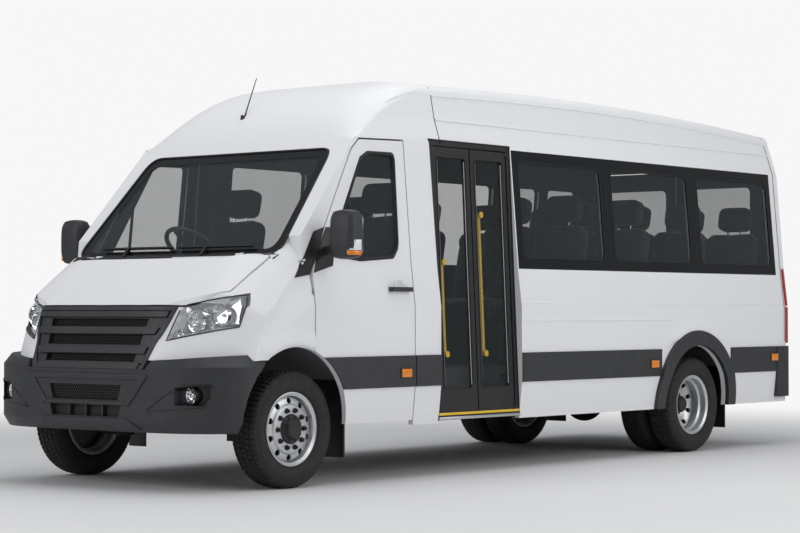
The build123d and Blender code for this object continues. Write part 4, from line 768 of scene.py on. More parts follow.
# The left side's rear window is one pane: its divider goes, and one pane takes the place of two.
PANE_LOW, PANE_HIGH, PANE_CORNER = 1.385, 2.020, 0.055
REAR_PANE = (4.470, 5.490)
REAR_DIVIDER = (4.885, 5.150)
REAR_GLASS_START = 4.43
for node in ("side_left", "window_bands"):
    divider = bmesh.new()
    add_block(divider, (0.80, st(REAR_DIVIDER[0]), PANE_LOW), (1.20, st(REAR_DIVIDER[1]), PANE_HIGH))
    RESHAPED[node].data = subtracted(RESHAPED[node], divider)
bm = bmesh.new()
bm.from_mesh(RESHAPED["side_glass"].data)
old_panes = [v for v in bm.verts if v.co.x > 0 and v.co.y > st(REAR_GLASS_START)]
bmesh.ops.delete(bm, geom=old_panes, context="VERTS")
outline = rounded(box(REAR_PANE[0], PANE_LOW, REAR_PANE[1], PANE_HIGH), PANE_CORNER, 6)
add_prism(bm, [Vector((side_x(q.y) - 0.006, st(q.x), q.y)) for q in outline], (-0.008, 0, 0))
bmesh.ops.recalc_face_normals(bm, faces=bm.faces)
bm.to_mesh(RESHAPED["side_glass"].data)
bm.free()

for name, obj in NODES.items():
    dress(RESHAPED.get(name, obj), INTERIOR.get(name))


# ------------------------------------------------------------------ wheels
RIM_HALF = RIM_W / 2
DUAL_HALF = 0.1225
TREAD_PITCHES, TREAD_DEPTH = 66, 0.007
TREAD_SLANT, TREAD_STAGGER = 3.5, 0.3       # in pitches: per metre off the middle, and between the two halves
TREAD_CUTS = ((0.0, 0), (0.62, 0), (0.70, 1), (0.92, 1))        # share of a pitch, 1 for the bottom of a cut
GROOVES = (-0.058, -0.0195, 0.0195, 0.058)


def tyre_profile():
    """(radius, distance outboard, tread weight) round the tyre, from bead to bead."""
    half = TYRE_W / 2
    wall = [(BEAD_R, 0.062, 0), (FLANGE_R + 0.003, RIM_HALF + 0.002, 0), (0.228, half - 0.016, 0),
            (0.231, half - 0.012, 0), (0.242, half - 0.008, 0), (0.262, half - 0.002, 0), (0.283, half, 0),
            (0.288, half - 0.0015, 0), (0.301, half - 0.002, 0), (0.304, half - 0.0045, 0),
            (0.318, half - 0.008, 0), (0.3275, half - 0.013, 0.15), (0.3345, half - 0.019, 0.6),
            (0.3395, half - 0.026, 0.9)]
    crown = [(TYRE_R - 0.0035, 0.071, 1.0)]
    for centre in reversed(GROOVES):
        crown += [(TYRE_R - 0.001, centre + 0.006, 1.0), (TYRE_R - 0.009, centre + 0.004, 0),
                  (TYRE_R - 0.009, centre - 0.004, 0), (TYRE_R - 0.001, centre - 0.006, 1.0)]
    crown.append((TYRE_R - 0.0035, -0.071, 1.0))
    return wall + crown + [(r, -d, w) for r, d, w in reversed(wall)]


def add_tyre(bm, centre):
    """A tyre with four circumferential grooves, cross cuts in its ribs and a ribbed shoulder."""
    profile = tyre_profile()
    rows = []
    for pitch in range(TREAD_PITCHES):
        for share, depth in TREAD_CUTS:
            row = []
            for r, d, weight in profile:
                lead = TREAD_SLANT * abs(d) + (TREAD_STAGGER if d > 0 else 0)
                a = 2 * math.pi * (pitch + share + lead) / TREAD_PITCHES
                radius = r - depth * weight * TREAD_DEPTH
                row.append(centre + Vector((d, math.cos(a) * radius, math.sin(a) * radius)))
            rows.append(row)
    add_grid(bm, rows, close_rows=True, close_columns=True)


BARREL = [(0.1945, 0.072), (0.205, 0.078), (0.211, 0.0815), (0.2165, 0.0805), (0.2172, 0.076),
          (0.2035, 0.064), (0.2030, 0.030), (0.190, 0.018), (0.190, -0.018), (0.2030, -0.030),
          (0.2035, -0.064), (0.2172, -0.076), (0.2165, -0.0805), (0.211, -0.0815), (0.205, -0.078),
          (0.1945, -0.072), (0.1945, -0.028), (0.181, -0.016), (0.181, 0.016), (0.1945, 0.028)]
FRONT_DISC = [(0.052, 0.0), (0.136, 0.0), (0.142, -0.002), (0.146, -0.007), (0.150, -0.012), (0.180, -0.018),
              (0.187, -0.023), (0.1935, -0.036), (0.1895, -0.048), (0.180, -0.030), (0.152, -0.022),
              (0.141, -0.018), (0.134, -0.010), (0.052, -0.010)]
REAR_DISC = [(0.052, 0.0), (0.118, 0.0), (0.132, 0.008), (0.150, 0.030), (0.168, 0.044), (0.186, 0.052),
             (0.1935, 0.058), (0.1935, 0.068), (0.182, 0.062), (0.163, 0.054), (0.142, 0.038), (0.126, 0.016),
             (0.114, 0.010), (0.052, 0.010)]
FRONT_BACKING = [(0.056, -0.034), (0.188, -0.040), (0.188, -0.046), (0.056, -0.046)]
REAR_HUB = [(0, 0), (0.086, 0), (0.084, 0.030), (0.078, 0.046), (0.064, 0.052), (0.061, 0.092),
            (0.052, 0.108), (0.018, 0.114), (0, 0.114)]
HUB_CORE = [(0.029, -0.08), (0.066, -0.08), (0.070, -0.012), (0.052, -0.004), (0.029, -0.004)]
VENT_CIRCLE, VENT_R, VENTS = 0.1655, 0.0185, 10
STUD_CIRCLE, NUT_R, STUDS, WASHER_T = 0.112, 0.0155, 10, 0.003
HUB_CAP_R, HUB_CAP_H, CAP_BOLTS = 0.088, 0.034, 8


def spokes(count, turn=0.0):
    """Unit vectors evenly round the X axis, turned by a share of their spacing."""
    angles = (2 * math.pi * (i + turn) / count for i in range(count))
    return [Vector((0, math.cos(a), math.sin(a))) for a in angles]


def wheel_disc_mesh(disc, name):
    """The disc's mesh about the origin, with its vents cut."""
    bm = bmesh.new()
    add_turned(bm, disc, Vector((0, 0, 0)), X_AXIS, 64, closed=True)
    bmesh.ops.recalc_face_normals(bm, faces=bm.faces)
    obj = linked(name, made_mesh(bm, name))
    vents, drill = bmesh.new(), box(0, -0.09, VENT_R, 0.09)
    for spoke in spokes(VENTS, 0.5):
        add_turned(vents, drill, spoke * VENT_CIRCLE, X_AXIS, 16)
    bmesh.ops.remove_doubles(vents, verts=vents.verts, dist=1e-6)
    done = subtracted(obj, vents)
    bpy.data.objects.remove(obj)
    return done


FRONT_DISC_MESH = wheel_disc_mesh(FRONT_DISC, "front_disc")
REAR_DISC_MESH = wheel_disc_mesh(REAR_DISC, "rear_disc")


def add_mesh(bm, mesh, matrix):
    """Copies a mesh into a bmesh through a matrix."""
    verts = [bm.verts.new(matrix @ v.co) for v in mesh.vertices]
    for polygon in mesh.polygons:
        bm.faces.new([verts[i] for i in polygon.vertices])


def add_nuts(bm, centre, along, height):
    """Wheel nuts with washers and stud ends."""
    washer = [(0, 0), (NUT_R * 1.05, 0), (NUT_R * 1.05, WASHER_T), (0, WASHER_T)]
    nut = [(0, WASHER_T), (NUT_R * 0.9, WASHER_T), (NUT_R * 0.84, height), (0, height)]
    stud = [(0, height), (NUT_R * 0.5, height), (NUT_R * 0.42, height + 0.006), (0, height + 0.007)]
    for spoke in spokes(STUDS):
        for profile, sides in ((washer, 14), (nut, 6), (stud, 10)):
            add_turned(bm, profile, centre + spoke * STUD_CIRCLE, along, sides)


def add_hub_cap(bm, centre, along, radius, height):
    """A black hub cover: stepped dome with a ring of bolts."""
    add_turned(bm, [(0, 0), (radius, 0), (radius, 0.006), (radius * 0.93, 0.012), (radius * 0.72, 0.013),
                    (radius * 0.66, height * 0.75), (radius * 0.56, height), (radius * 0.2, height * 1.06),
                    (0, height * 1.07)], centre, along, 40)
    for spoke in spokes(CAP_BOLTS, 0.5):
        add_turned(bm, [(0, 0), (0.0065, 0), (0.006, 0.006), (0, 0.006)],
                   centre + along * 0.012 + spoke * (radius * 0.83), along, 6)


def wheel(sign, side, axle, body):
    """Tyres, rims, nuts and hub cover of one side's wheels on one axle."""
    front = axle == "front"
    along = X_AXIS * sign
    turn = Matrix.Scale(sign, 4, X_AXIS)
    y = st(0) if front else st(WHEELBASE)
    name, plural = f"{side}_{axle}", "" if front else "s"
    rubber, metal, dark = bmesh.new(), bmesh.new(), bmesh.new()
    for x in [FRONT_CENTRE] if front else [DUAL_OUTER, DUAL_INNER]:
        centre = Vector((sign * x, y, TYRE_R))
        add_tyre(rubber, centre)
        add_turned(metal, [(r, sign * d) for r, d in BARREL], centre, sides=72, closed=True)
    tyres = piece(f"{name}_tyre_tread", rubber, "rubber", body, crease=50)
    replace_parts(tyres, f"{name}_tyre{plural}")
    face = FRONT_CENTRE + RIM_HALF - 0.006 if front else DUAL_OUTER + 0.012 - DUAL_HALF
    hub = Vector((sign * face, y, TYRE_R))
    if front:
        add_mesh(metal, FRONT_DISC_MESH, Matrix.Translation(hub) @ turn)
        add_nuts(dark, hub, along, 0.017)
        add_hub_cap(dark, hub, along, HUB_CAP_R, HUB_CAP_H)
        add_turned(dark, FRONT_BACKING, hub, along, 40, closed=True)
    else:
        for shift, mirrored in ((0, 1), (-0.024, -1)):
            add_mesh(metal, REAR_DISC_MESH,
                     Matrix.Translation(hub + along * shift) @ turn @ Matrix.Scale(mirrored, 4, X_AXIS))
        add_nuts(dark, hub, along, 0.020)
        add_turned(dark, REAR_HUB, hub, along, 40)
    add_turned(metal, HUB_CORE, hub, along, 32, closed=True)
    rims = piece(f"{name}_rim_disc", metal, "rim", body, crease=34)
    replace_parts(rims, f"{name}_rim{plural}")
    piece(f"{name}_hub_nuts", dark, "black", body, crease=30)


for sign, side in SIDES:
    wheel(sign, side, "front", f"{side}_front_wheel")
    wheel(sign, side, "rear", f"{side}_rear_wheels")


# ------------------------------------------------------------------ nose: lamps, grille and bumper
LAMP_OUTLINE = [(0.562, 0.863), (0.904, 0.941), (0.914, 1.060), (0.884, 1.127), (0.593, 1.061)]
LAMP_BOWLS = ((0.672, 0.972, 0.056), (0.790, 1.008, 0.060))        # x, z, radius
LAMP_CORNERS = ((0.605, 0.905, 0.026, "bowls"), (0.862, 1.045, 0.030, "amber"))
LAMP_SUNK, HOUSING_SUNK = -0.040, -0.037
HOUSING_WALL, HOUSING_BACK_Y = 0.035, st(-0.42)
BOWL_SHARES, BOWL_RIPPLE = (0.16, 0.34, 0.52, 0.70, 0.86, 1.0), 0.93
LENS_TREE = tree_of("front_lamps")
NOSE_TREE = tree_of("wings", "bonnet", "front_lamps", "grille")
GRILLE_TREE = tree_of("grille_mesh")
BUMPER_TREE = tree_of("front_bumper")


def mirror_x(points, side):
    return [(side * x, z) for x, z in points]


def add_draped(bm, cast, corners, across, along, lift):
    """A four-cornered patch laid on a surface; corners run round the patch in the cast's plane."""
    a, b, c, d = (Vector(p) for p in corners)
    rows = []
    for i in range(along + 1):
        v = i / along
        ends = [(a.lerp(b, j / across), d.lerp(c, j / across)) for j in range(across + 1)]
        rows.append([cast(p.x, p.y, lift) for p in (near.lerp(far, v) for near, far in ends)])
    add_grid(bm, rows)


def on_front(tree):
    return lambda x, z, lift: cast_front(tree, x, z, lift)


def add_bowl(bm, centre, radius, depth, flutes):
    """A fluted reflector bowl that opens forward."""
    side = FORWARD.orthogonal().normalized()
    up = FORWARD.cross(side)
    rows = []
    for i in range(flutes * 2):
        a = math.pi * i / flutes
        spoke = side * math.cos(a) + up * math.sin(a)
        ripple = 1.0 if i % 2 else BOWL_RIPPLE
        row = []
        for share in BOWL_SHARES:
            r = radius * share * (ripple if share < 1 else 1)
            row.append(centre + spoke * r - FORWARD * depth * (1 - share ** 2))
        rows.append(row)
    add_grid(bm, rows, close_rows=True)


lamp = {name: bmesh.new() for name in ("housing", "bowls", "bulbs", "amber", "rims")}
for side in (1, -1):
    outline = [tuple(p) for p in resampled(ccw(mirror_x(LAMP_OUTLINE, side)), 0.03)]
    front, middle, back = [], [], []
    for p, q in zip(inset_outline(outline, 0.004), inset_outline(outline, 0.024)):
        hit = cast_front(NOSE_TREE, p.x, p.y, HOUSING_SUNK)
        front.append(hit)
        middle.append(Vector((q.x, hit.y + HOUSING_WALL, q.y)))
        back.append(Vector((q.x, hit.y * 0.35 + HOUSING_BACK_Y * 0.65, q.y)))
    add_grid(lamp["housing"], [front, middle, back], close_columns=True)
    ring = list(lamp["housing"].verts)[-len(back):]
    hub = lamp["housing"].verts.new(sum(back, Vector()) / len(back))
    for i, v in enumerate(ring):
        lamp["housing"].faces.new((v, ring[(i + 1) % len(ring)], hub))
    for x, z, r in LAMP_BOWLS:
        hit = cast_front(LENS_TREE, side * x, z, LAMP_SUNK)
        add_bowl(lamp["bowls"], hit, r, 0.062, 16)
        add_turned(lamp["bowls"], [(r, 0), (r + 0.006, 0.002), (r + 0.007, -0.02)], hit, FORWARD, 36)
        add_turned(lamp["bulbs"], [(0.0, 0.020), (0.007, 0.018), (0.010, 0.008), (0.010, -0.03), (0, -0.03)],
                   hit - FORWARD * 0.035, FORWARD, 16)
    for x, z, r, target in LAMP_CORNERS:
        add_bowl(lamp[target], cast_front(LENS_TREE, side * x, z, LAMP_SUNK), r, 0.025, 10)
    rim_path = [cast_front(NOSE_TREE, p.x, p.y, 0.0005) for p in inset_outline(outline, 0.001)]
    add_tube(lamp["rims"], rim_path, 0.0042, 6, closed=True)
piece("lamp_housings", lamp["housing"], "housing", "body", crease=25)
piece("lamp_reflectors", lamp["bowls"], "chrome", "body", crease=8)
piece("lamp_bulbs", lamp["bulbs"], "lens_core", "body")
piece("lamp_indicators", lamp["amber"], "amber", "body", crease=8)
piece("lamp_gaskets", lamp["rims"], "black", "body")

FOG_LAMP = (0.752, -0.668, 0.553)       # x, station, z
FOG_WELL = [(0.500, 0.462), (0.862, 0.492), (0.893, 0.622), (0.745, 0.612), (0.640, 0.560)]
fog_bowls, fog_rings, well_shade_lines = bmesh.new(), bmesh.new(), bmesh.new()
for side in (1, -1):
    fog = Vector((side * FOG_LAMP[0], st(FOG_LAMP[1]), FOG_LAMP[2]))
    add_bowl(fog_bowls, fog - FORWARD * 0.004, 0.047, 0.022, 14)
    add_turned(fog_bowls, [(0, 0.006), (0.011, 0.004), (0.013, -0.010), (0, -0.010)], fog - FORWARD * 0.016,
               FORWARD, 16)
    add_turned(fog_rings, [(0.048, 0.001), (0.051, 0.005), (0.055, 0.004), (0.058, -0.004), (0.058, -0.05),
                           (0.050, -0.05)], fog, FORWARD, 40, closed=True)
    well = resampled(rounded(ccw(mirror_x(FOG_WELL, side)), 0.02, 3), 0.03)
    # Painted shade: black lines round each fog-lamp well stand in for the shade at the well's edge.
    add_tube(well_shade_lines, [cast_front(BUMPER_TREE, q.x, q.y, 0.0) for q in well], 0.0045, 6, closed=True)
piece("fog_reflectors", fog_bowls, "chrome", "body", crease=8)
piece("fog_bezels", fog_rings, "black", "body")
piece("fog_well_shade_lines", well_shade_lines, "black", "body", crease=60)
CELL_PITCH, CELL_WALL, CELL_DEPTH = 0.0185, 0.0022, 0.006


def add_honeycomb(bm, tree, low, high, half_at, lift):
    """Hexagonal cells over a symmetric opening between two heights."""
    row_step = CELL_PITCH * math.sqrt(3) / 2
    outer_r = CELL_PITCH / math.sqrt(3)
    inner_r = outer_r - CELL_WALL
    corners = [(math.cos(a), math.sin(a)) for a in (math.pi / 6 + k * math.pi / 3 for k in range(6))]
    for number in range(int((high - low) / row_step) + 2):
        z = low + number * row_step
        half = half_at(z) + CELL_PITCH * 0.3
        count = int(half / CELL_PITCH)
        for c in range(-count, count + 1):
            x = (c + (0.5 if number % 2 else 0)) * CELL_PITCH
            if abs(x) > half:
                continue
            y = cast_front(tree, x, min(max(z, low), high), lift).y
            outer, inner, deep = ([Vector((x + dx * r, y + depth, z + dz * r)) for dx, dz in corners]
                                  for r, depth in ((outer_r, 0), (inner_r, 0), (inner_r, CELL_DEPTH)))
            add_band(bm, outer, inner)
            add_band(bm, inner, deep)


comb = bmesh.new()
for half, low, high in ((0.415, 0.943, 0.988), (0.400, 0.838, 0.896), (0.372, 0.742, 0.785)):
    add_honeycomb(comb, GRILLE_TREE, low + 0.006, high - 0.006, lambda z, h=half: h - 0.012, 0.016)
add_honeycomb(comb, GRILLE_TREE, 0.528, 0.602, lambda z: 0.272 + (z - 0.52) * 0.3, 0.018)
piece("grille_honeycomb", comb, "honeycomb", "body", crease=20)

bars = bmesh.new()
for x in (-0.14, 0.0, 0.14):
    hit = cast_front(BUMPER_TREE, x, 0.41, 0)
    add_block(bars, (x - 0.005, hit.y + 0.006, 0.420), (x + 0.005, hit.y + 0.03, 0.494))
piece("intake_bars", bars, "plastic", "body", bevel=0.0015)

BUMPER_PATCHES = (([(0, 0.672), (0.500, 0.672), (0.484, 0.640), (0, 0.640)], 14, 2, 0.002),
                  ([(0.520, 0.668), (0.462, 0.668), (0.312, 0.494), (0.368, 0.486)], 3, 8, 0.002),
                  ([(0, 0.515), (0.335, 0.515), (0.352, 0.492), (0, 0.492)], 12, 2, 0.002),
                  ([(0, 0.416), (0.350, 0.416), (0.455, 0.352), (0, 0.352)], 12, 4, 0.003))
bumper_frame = bmesh.new()
for side in (1, -1):
    for corners, across, along, lift in BUMPER_PATCHES:
        add_draped(bumper_frame, on_front(BUMPER_TREE), mirror_x(corners, side), across, along, lift)
bmesh.ops.remove_doubles(bumper_frame, verts=bumper_frame.verts, dist=0.0005)
piece("bumper_frame", bumper_frame, "plastic", "body", bevel=0.006, segments=3, solid=0.014)

# ------------------------------------------------------------------ windscreen surround, cowl and sails
CAB_TREE = tree_of("cab_frame", "windscreen")
BONNET_TREE = tree_of("bonnet")
SCREEN_OUTLINE = [(-0.868, 1.370), (0.868, 1.370), (0.775, 2.022), (-0.775, 2.022)]
FRIT_INNER = [(-0.800, 1.402), (0.800, 1.402), (0.728, 1.972), (-0.728, 1.972)]
SCREEN_FOOT, SCREEN_TOP_Z, SCREEN_RUN, SCREEN_SUNK = (-0.06, 1.362), 2.045, 0.605, 0.006


def screen_point(p, lift):
    """A point on the windscreen's plane over 2D (x, z), lifted off it."""
    rise = SCREEN_TOP_Z - SCREEN_FOOT[1]
    size = math.hypot(rise, SCREEN_RUN)
    y = st(SCREEN_FOOT[0]) + (p.y - SCREEN_FOOT[1]) * SCREEN_RUN / rise
    return Vector((p.x, y, p.y)) + Vector((0, -rise / size, SCREEN_RUN / size)) * (lift - SCREEN_SUNK)


frit, gasket = bmesh.new(), bmesh.new()
screen_edge = rounded(SCREEN_OUTLINE, 0.085, 8)
add_band(frit, [screen_point(p, 0.0015) for p in screen_edge],
         [screen_point(p, 0.0015) for p in rounded(FRIT_INNER, 0.075, 8)])
piece("windscreen_frit", frit, "band", "body")
add_tube(gasket, [screen_point(p, 0.0045) for p in screen_edge], 0.0065, 6, closed=True)
piece("windscreen_gasket", gasket, "rubber", "body")


def drop_on(tree):
    """A cast to the point of a surface straight below (x, y), raised by lift."""
    def cast(x, y, lift):
        for dx, dy in NUDGES:
            hit, normal = tree.ray_cast(Vector((x + dx, y + dy, 3.0)), Vector((0, 0, -1)))[:2]
            if hit:
                return Vector((x, y, hit.z)) + normal * lift * (1 if normal.z > 0 else -1)
        raise ValueError(f"nothing below {x:.3f}, {y:.3f}")
    return cast


VENT_START_X, LOUVRE_PITCH, LOUVRES = -0.69, 0.0185, 44
vent, louvres, cowl = bmesh.new(), bmesh.new(), bmesh.new()
add_draped(vent, drop_on(BONNET_TREE),
           [(-0.70, st(-0.235)), (0.16, st(-0.235)), (0.10, st(-0.165)), (-0.72, st(-0.165))], 30, 3, 0.002)
piece("cowl_vent", vent, "black", "bonnet", solid=0.006)
for i in range(LOUVRES):
    x = VENT_START_X + i * LOUVRE_PITCH
    add_tube(louvres, [drop_on(BONNET_TREE)(x, st(s), 0.006) for s in (-0.228, -0.172)], 0.003, 5)
piece("cowl_louvres", louvres, "plastic", "bonnet")
add_draped(cowl, drop_on(CAB_TREE),
           [(-0.86, st(-0.095)), (0.86, st(-0.095)), (0.865, st(-0.052)), (-0.865, st(-0.052))], 30, 2, 0.002)
piece("cowl_panel", cowl, "black", "body", solid=0.004)


def side_patch(bm, outline, side, lift, depth):
    """A flat outline of (station, height) points on the body side, with a thickness."""
    near = [Vector((side * (side_x(z) + lift), st(s), z)) for s, z in outline]
    add_prism(bm, near, (-side * depth, 0, 0))


PILLAR_TREE = tree_of("cab_frame", "wings", "bonnet")
# The cab door's front edge runs through stations 0.175 and 0.505 at heights 1.395 and 1.944.
DOOR_FRONT_MIDDLE = 0.175
DOOR_FRONT_TOP = DOOR_FRONT_MIDDLE + 0.330 * (1.530 - 1.395) / 0.549
FIXED_SAIL = [(-0.030, 1.226), (0.112, 1.246), (DOOR_FRONT_TOP - 0.0075, 1.530), (0.150, 1.500)]
MOVING_SAIL = [(0.131, 1.256), (0.305, 1.300), (0.318, 1.352), (0.365, 1.530),
               (DOOR_FRONT_TOP + 0.010, 1.530), (DOOR_FRONT_MIDDLE + 0.008, 1.395)]
for side, name in SIDES:
    fixed, moving = bmesh.new(), bmesh.new()
    add_draped(fixed, lambda y, z, lift, d=side: cast_side(PILLAR_TREE, y, z, lift, d),
               [(st(s), z) for s, z in FIXED_SAIL], 6, 12, 0.004)
    side_patch(moving, MOVING_SAIL, side, 0.005, 0.010)
    piece(f"{name}_sail_front", fixed, "black", "body", crease=60, solid=0.004)
    piece(f"{name}_sail", moving, "black", f"{name}_cab_door", bevel=0.003)


# ------------------------------------------------------------------ seats
SEAT_W, SEAT_D, CUSHION_T = 0.430, 0.440, 0.120
CUSHION_TOP, BACK_H, BACK_T, LEAN = 1.090, 0.640, 0.100, math.radians(12)
ROW_XS = (0.635, 0.193, -0.635)
ROWS = [2.950 + 0.780 * i for i in range(4)]
SEATS = ([(0.600, 0.985), (0.158, 0.985), (-0.610, 0.985)] + [(x, s) for s in ROWS for x in ROW_XS]
         + [(-0.635, 2.170)])


PAD_LEVELS = [(-0.50, 0.80), (-0.47, 0.90), (-0.36, 0.965), (-0.18, 0.985), (0.0, 0.955), (0.04, 0.955),
              (0.20, 0.99), (0.36, 0.975), (0.45, 0.92), (0.50, 0.82)]      # share of height, share of width
GROOVE_WIDTH, GROOVE_DEPTH = 0.009, 0.010
CLOTH_FRAMES, MOST_PUFF = 15, 0.030


def soft_form(name, width, depth, height, corner, pipes, crown):
    """A closed upholstered pad about its middle: crowned faces, pulled-in sides and stitched channels."""
    cells = 22
    shape = resampled(rounded(box(-width / 2, -depth / 2, width / 2, depth / 2), corner, 6), width / cells)
    bm = bmesh.new()
    rows = []
    for level, share in PAD_LEVELS:
        pull = (1 - share) * 0.28
        rows.append([Vector((p.x * (1 - pull * min(1, depth / width)), p.y * (1 - pull), level * height))
                     for p in shape])
    add_grid(bm, rows, close_columns=True)
    for row, sign, bulge, sunk in ((rows[0], -1, crown * 0.3, 0), (rows[-1], 1, crown, GROOVE_DEPTH)):
        previous = row
        for share in (0.86, 0.70, 0.52, 0.34, 0.17):
            current = []
            for p in row:
                x, y = p.x * share, p.y * share
                groove = max([math.exp(-((x - pipe * width) / GROOVE_WIDTH) ** 2) for pipe in pipes],
                             default=0)
                current.append(Vector((x, y, p.z + sign * (bulge * (1 - share ** 2) - sunk * groove))))
            add_grid(bm, [previous, current], close_columns=True)
            previous = current
        hub = bm.verts.new(Vector((0, 0, previous[0].z + sign * crown * 0.02)))
        edge = [bm.verts.new(p) for p in previous]
        for i, v in enumerate(edge):
            bm.faces.new((v, edge[(i + 1) % len(edge)], hub))
    bmesh.ops.remove_doubles(bm, verts=bm.verts, dist=0.0001)
    bmesh.ops.recalc_face_normals(bm, faces=bm.faces)
    return made_mesh(bm, name)


def puffed(mesh, name, pinned):
    """The same pad inflated by a short cloth simulation, held along its base."""
    obj = linked(name, mesh)
    group = obj.vertex_groups.new(name="held")
    group.add([v.index for v in mesh.vertices if v.co.z < pinned], 1.0, "REPLACE")
    settings = obj.modifiers.new("cloth", "CLOTH").settings
    settings.vertex_group_mass = "held"
    settings.use_pressure = True
    settings.uniform_pressure_force = 4.0
    settings.effector_weights.gravity = 0.0
    settings.tension_stiffness = 40
    settings.compression_stiffness = 40
    settings.shear_stiffness = 20
    settings.bending_stiffness = 4
    settings.mass = 0.4
    settings.quality = 5
    for number in range(1, CLOTH_FRAMES + 1):
        scene.frame_set(number)
    done = evaluated(obj)
    bpy.data.objects.remove(obj)
    scene.frame_set(1)
    furthest = max((b.co - a.co).length for a, b in zip(mesh.vertices, done.vertices))
    if furthest > MOST_PUFF:
        for a, b in zip(mesh.vertices, done.vertices):
            b.co = a.co.lerp(b.co, MOST_PUFF / furthest)
    return done


HEAD_RISE, HEAD_BACK, POST_HALF_GAP = 0.105, 0.055, 0.055
cushion = soft_form("cushion_form", SEAT_W, SEAT_D, CUSHION_T, 0.055, (-0.24, 0.24), 0.016)
backrest = soft_form("backrest_form", SEAT_W, BACK_H - 0.03, BACK_T, 0.080, (-0.25, 0.25), 0.018)
headrest = soft_form("headrest_form", 0.270, 0.185, 0.082, 0.060, (), 0.014)
cushion = puffed(cushion, "cushion_cloth", -0.05)
backrest = puffed(backrest, "backrest_cloth", -0.042)
headrest = puffed(headrest, "headrest_cloth", -0.034)
cushions, backs, heads, posts = (bmesh.new() for _ in range(4))
up = Vector((0, math.sin(LEAN), math.cos(LEAN)))
ahead = Vector((0, -math.cos(LEAN), math.sin(LEAN)))
turn = Matrix((X_AXIS, up, ahead)).transposed().to_4x4()
for x, s in SEATS:
    seat_at = Vector((x, st(s - SEAT_D / 2), CUSHION_TOP - CUSHION_T / 2))
    add_mesh(cushions, cushion, Matrix.Translation(seat_at))
    foot = Vector((x, st(s), CUSHION_TOP - 0.060))
    add_mesh(backs, backrest, Matrix.Translation(foot + up * (BACK_H / 2) - ahead * (BACK_T / 2)) @ turn)
    add_mesh(heads, headrest, Matrix.Translation(foot + up * (BACK_H + HEAD_RISE) - ahead * HEAD_BACK) @ turn)
    for dx in (-POST_HALF_GAP, POST_HALF_GAP):
        a = foot + up * (BACK_H - 0.05) - ahead * HEAD_BACK + X_AXIS * dx
        add_tube(posts, [a, a + up * 0.10], 0.006, 8)
cushions = piece("cushion_pads", cushions, "fabric", "body", crease=70)
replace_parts(cushions, "seat_cushions")
backs = piece("backrest_pads", backs, "fabric", "body", crease=70)
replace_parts(backs, "seat_backs")
heads = piece("headrest_pads", heads, "fabric", "body", crease=70)
piece("headrest_posts", posts, "chrome", "body")

# ------------------------------------------------------------------ entrance: rails, nosing and seals
ENTRY_LEAN = math.atan2(LOW_HALF - HIGH_HALF, ENTRY_HIGH - ENTRY_LOW)
ENTRY_MIDDLE = (ENTRY_FRONT + ENTRY_REAR) / 2
RISE = (ENTRY_HIGH - ENTRY_LOW) / math.cos(ENTRY_LEAN)
ENTRY_UP = Vector((-math.sin(ENTRY_LEAN), 0, math.cos(ENTRY_LEAN)))
ENTRY_OUT = Vector((math.cos(ENTRY_LEAN), 0, math.sin(ENTRY_LEAN)))


def entry_point(s, rise, out):
    """A point in the entrance door's leaning plane: station, distance up it, and distance out of it."""
    return Vector((LOW_HALF, st(s), ENTRY_LOW)) + ENTRY_UP * rise + ENTRY_OUT * out


RAIL_INSIDE, RAIL_R, FLANGE = -0.016, 0.0165, [(0, 0), (0.021, 0), (0.021, 0.003), (0.018, 0.006), (0, 0.006)]


def leaf_rail(name, body, node, s, low, high):
    """A grab rail on a leaf's inner side, bent in to a flange at each end."""
    bm = bmesh.new()
    bends = ((low, 0), (low + 0.004, 0.020), (low + 0.020, 0.030), (high - 0.020, 0.030),
             (high - 0.004, 0.020), (high, 0))
    add_tube(bm, [entry_point(s, rise, RAIL_INSIDE - off) for rise, off in bends], RAIL_R, 16)
    for rise in (low, high):
        add_turned(bm, FLANGE, entry_point(s, rise, RAIL_INSIDE + 0.001), -ENTRY_OUT, 20)
    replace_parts(piece(name, bm, "yellow", body), node)


leaf_rail("front_leaf_grab_rail", "front_leaf", "front_leaf_rail", 1.450, 0.415, 1.000)
leaf_rail("rear_leaf_grab_rail", "rear_leaf", "rear_leaf_rail", 1.856, 0.415, 1.315)


def entry_strip(inset, low, high, out, thick):
    """A bar across the entrance between two distances up its plane."""
    bm = bmesh.new()
    corners = box(ENTRY_FRONT + inset, low, ENTRY_REAR - inset, high)
    add_prism(bm, [entry_point(s, rise, out) for s, rise in corners], (thick, 0, 0))
    return bm


piece("step_nosing", entry_strip(0.006, 0.030, 0.046, 0.0062, 0.006), "yellow", "body",
      bevel=0.002)
piece("step_sill", entry_strip(0.004, 0.002, 0.020, 0.006, 0.012), "alloy", "body", bevel=0.003)

PANE_FOOT, PANE_HEAD = 0.046 + 0.150, RISE - 0.046 - 0.063
for name, start, end in (("front_leaf", 1.343, ENTRY_MIDDLE - 0.006),
                         ("rear_leaf", ENTRY_MIDDLE + 0.006, 2.117)):
    seals, bright = bmesh.new(), bmesh.new()
    window = rounded(box(start + 0.042, PANE_FOOT, end - 0.042, PANE_HEAD), 0.028, 5)
    add_tube(seals, [entry_point(p.x, p.y, 0.0008) for p in window], 0.0045, 6, closed=True)
    meeting = end if name == "front_leaf" else start
    add_tube(seals, [entry_point(meeting, rise, -0.012) for rise in (0.05, RISE - 0.05)], 0.0052, 8)
    for s in (start + 0.052, end - 0.052):
        ends = (PANE_FOOT + 0.02, PANE_HEAD - 0.02)
        add_tube(bright, [entry_point(s, rise, -0.004) for rise in ends], 0.0028, 6)
    piece(f"{name}_seals", seals, "rubber", name)
    piece(f"{name}_beading", bright, "housing", name)
header = bmesh.new()
for s in (ENTRY_FRONT + 0.004, ENTRY_REAR - 0.004):
    add_tube(header, [entry_point(s, 0.0, 0.007), entry_point(s, RISE, 0.007)], 0.005, 6)
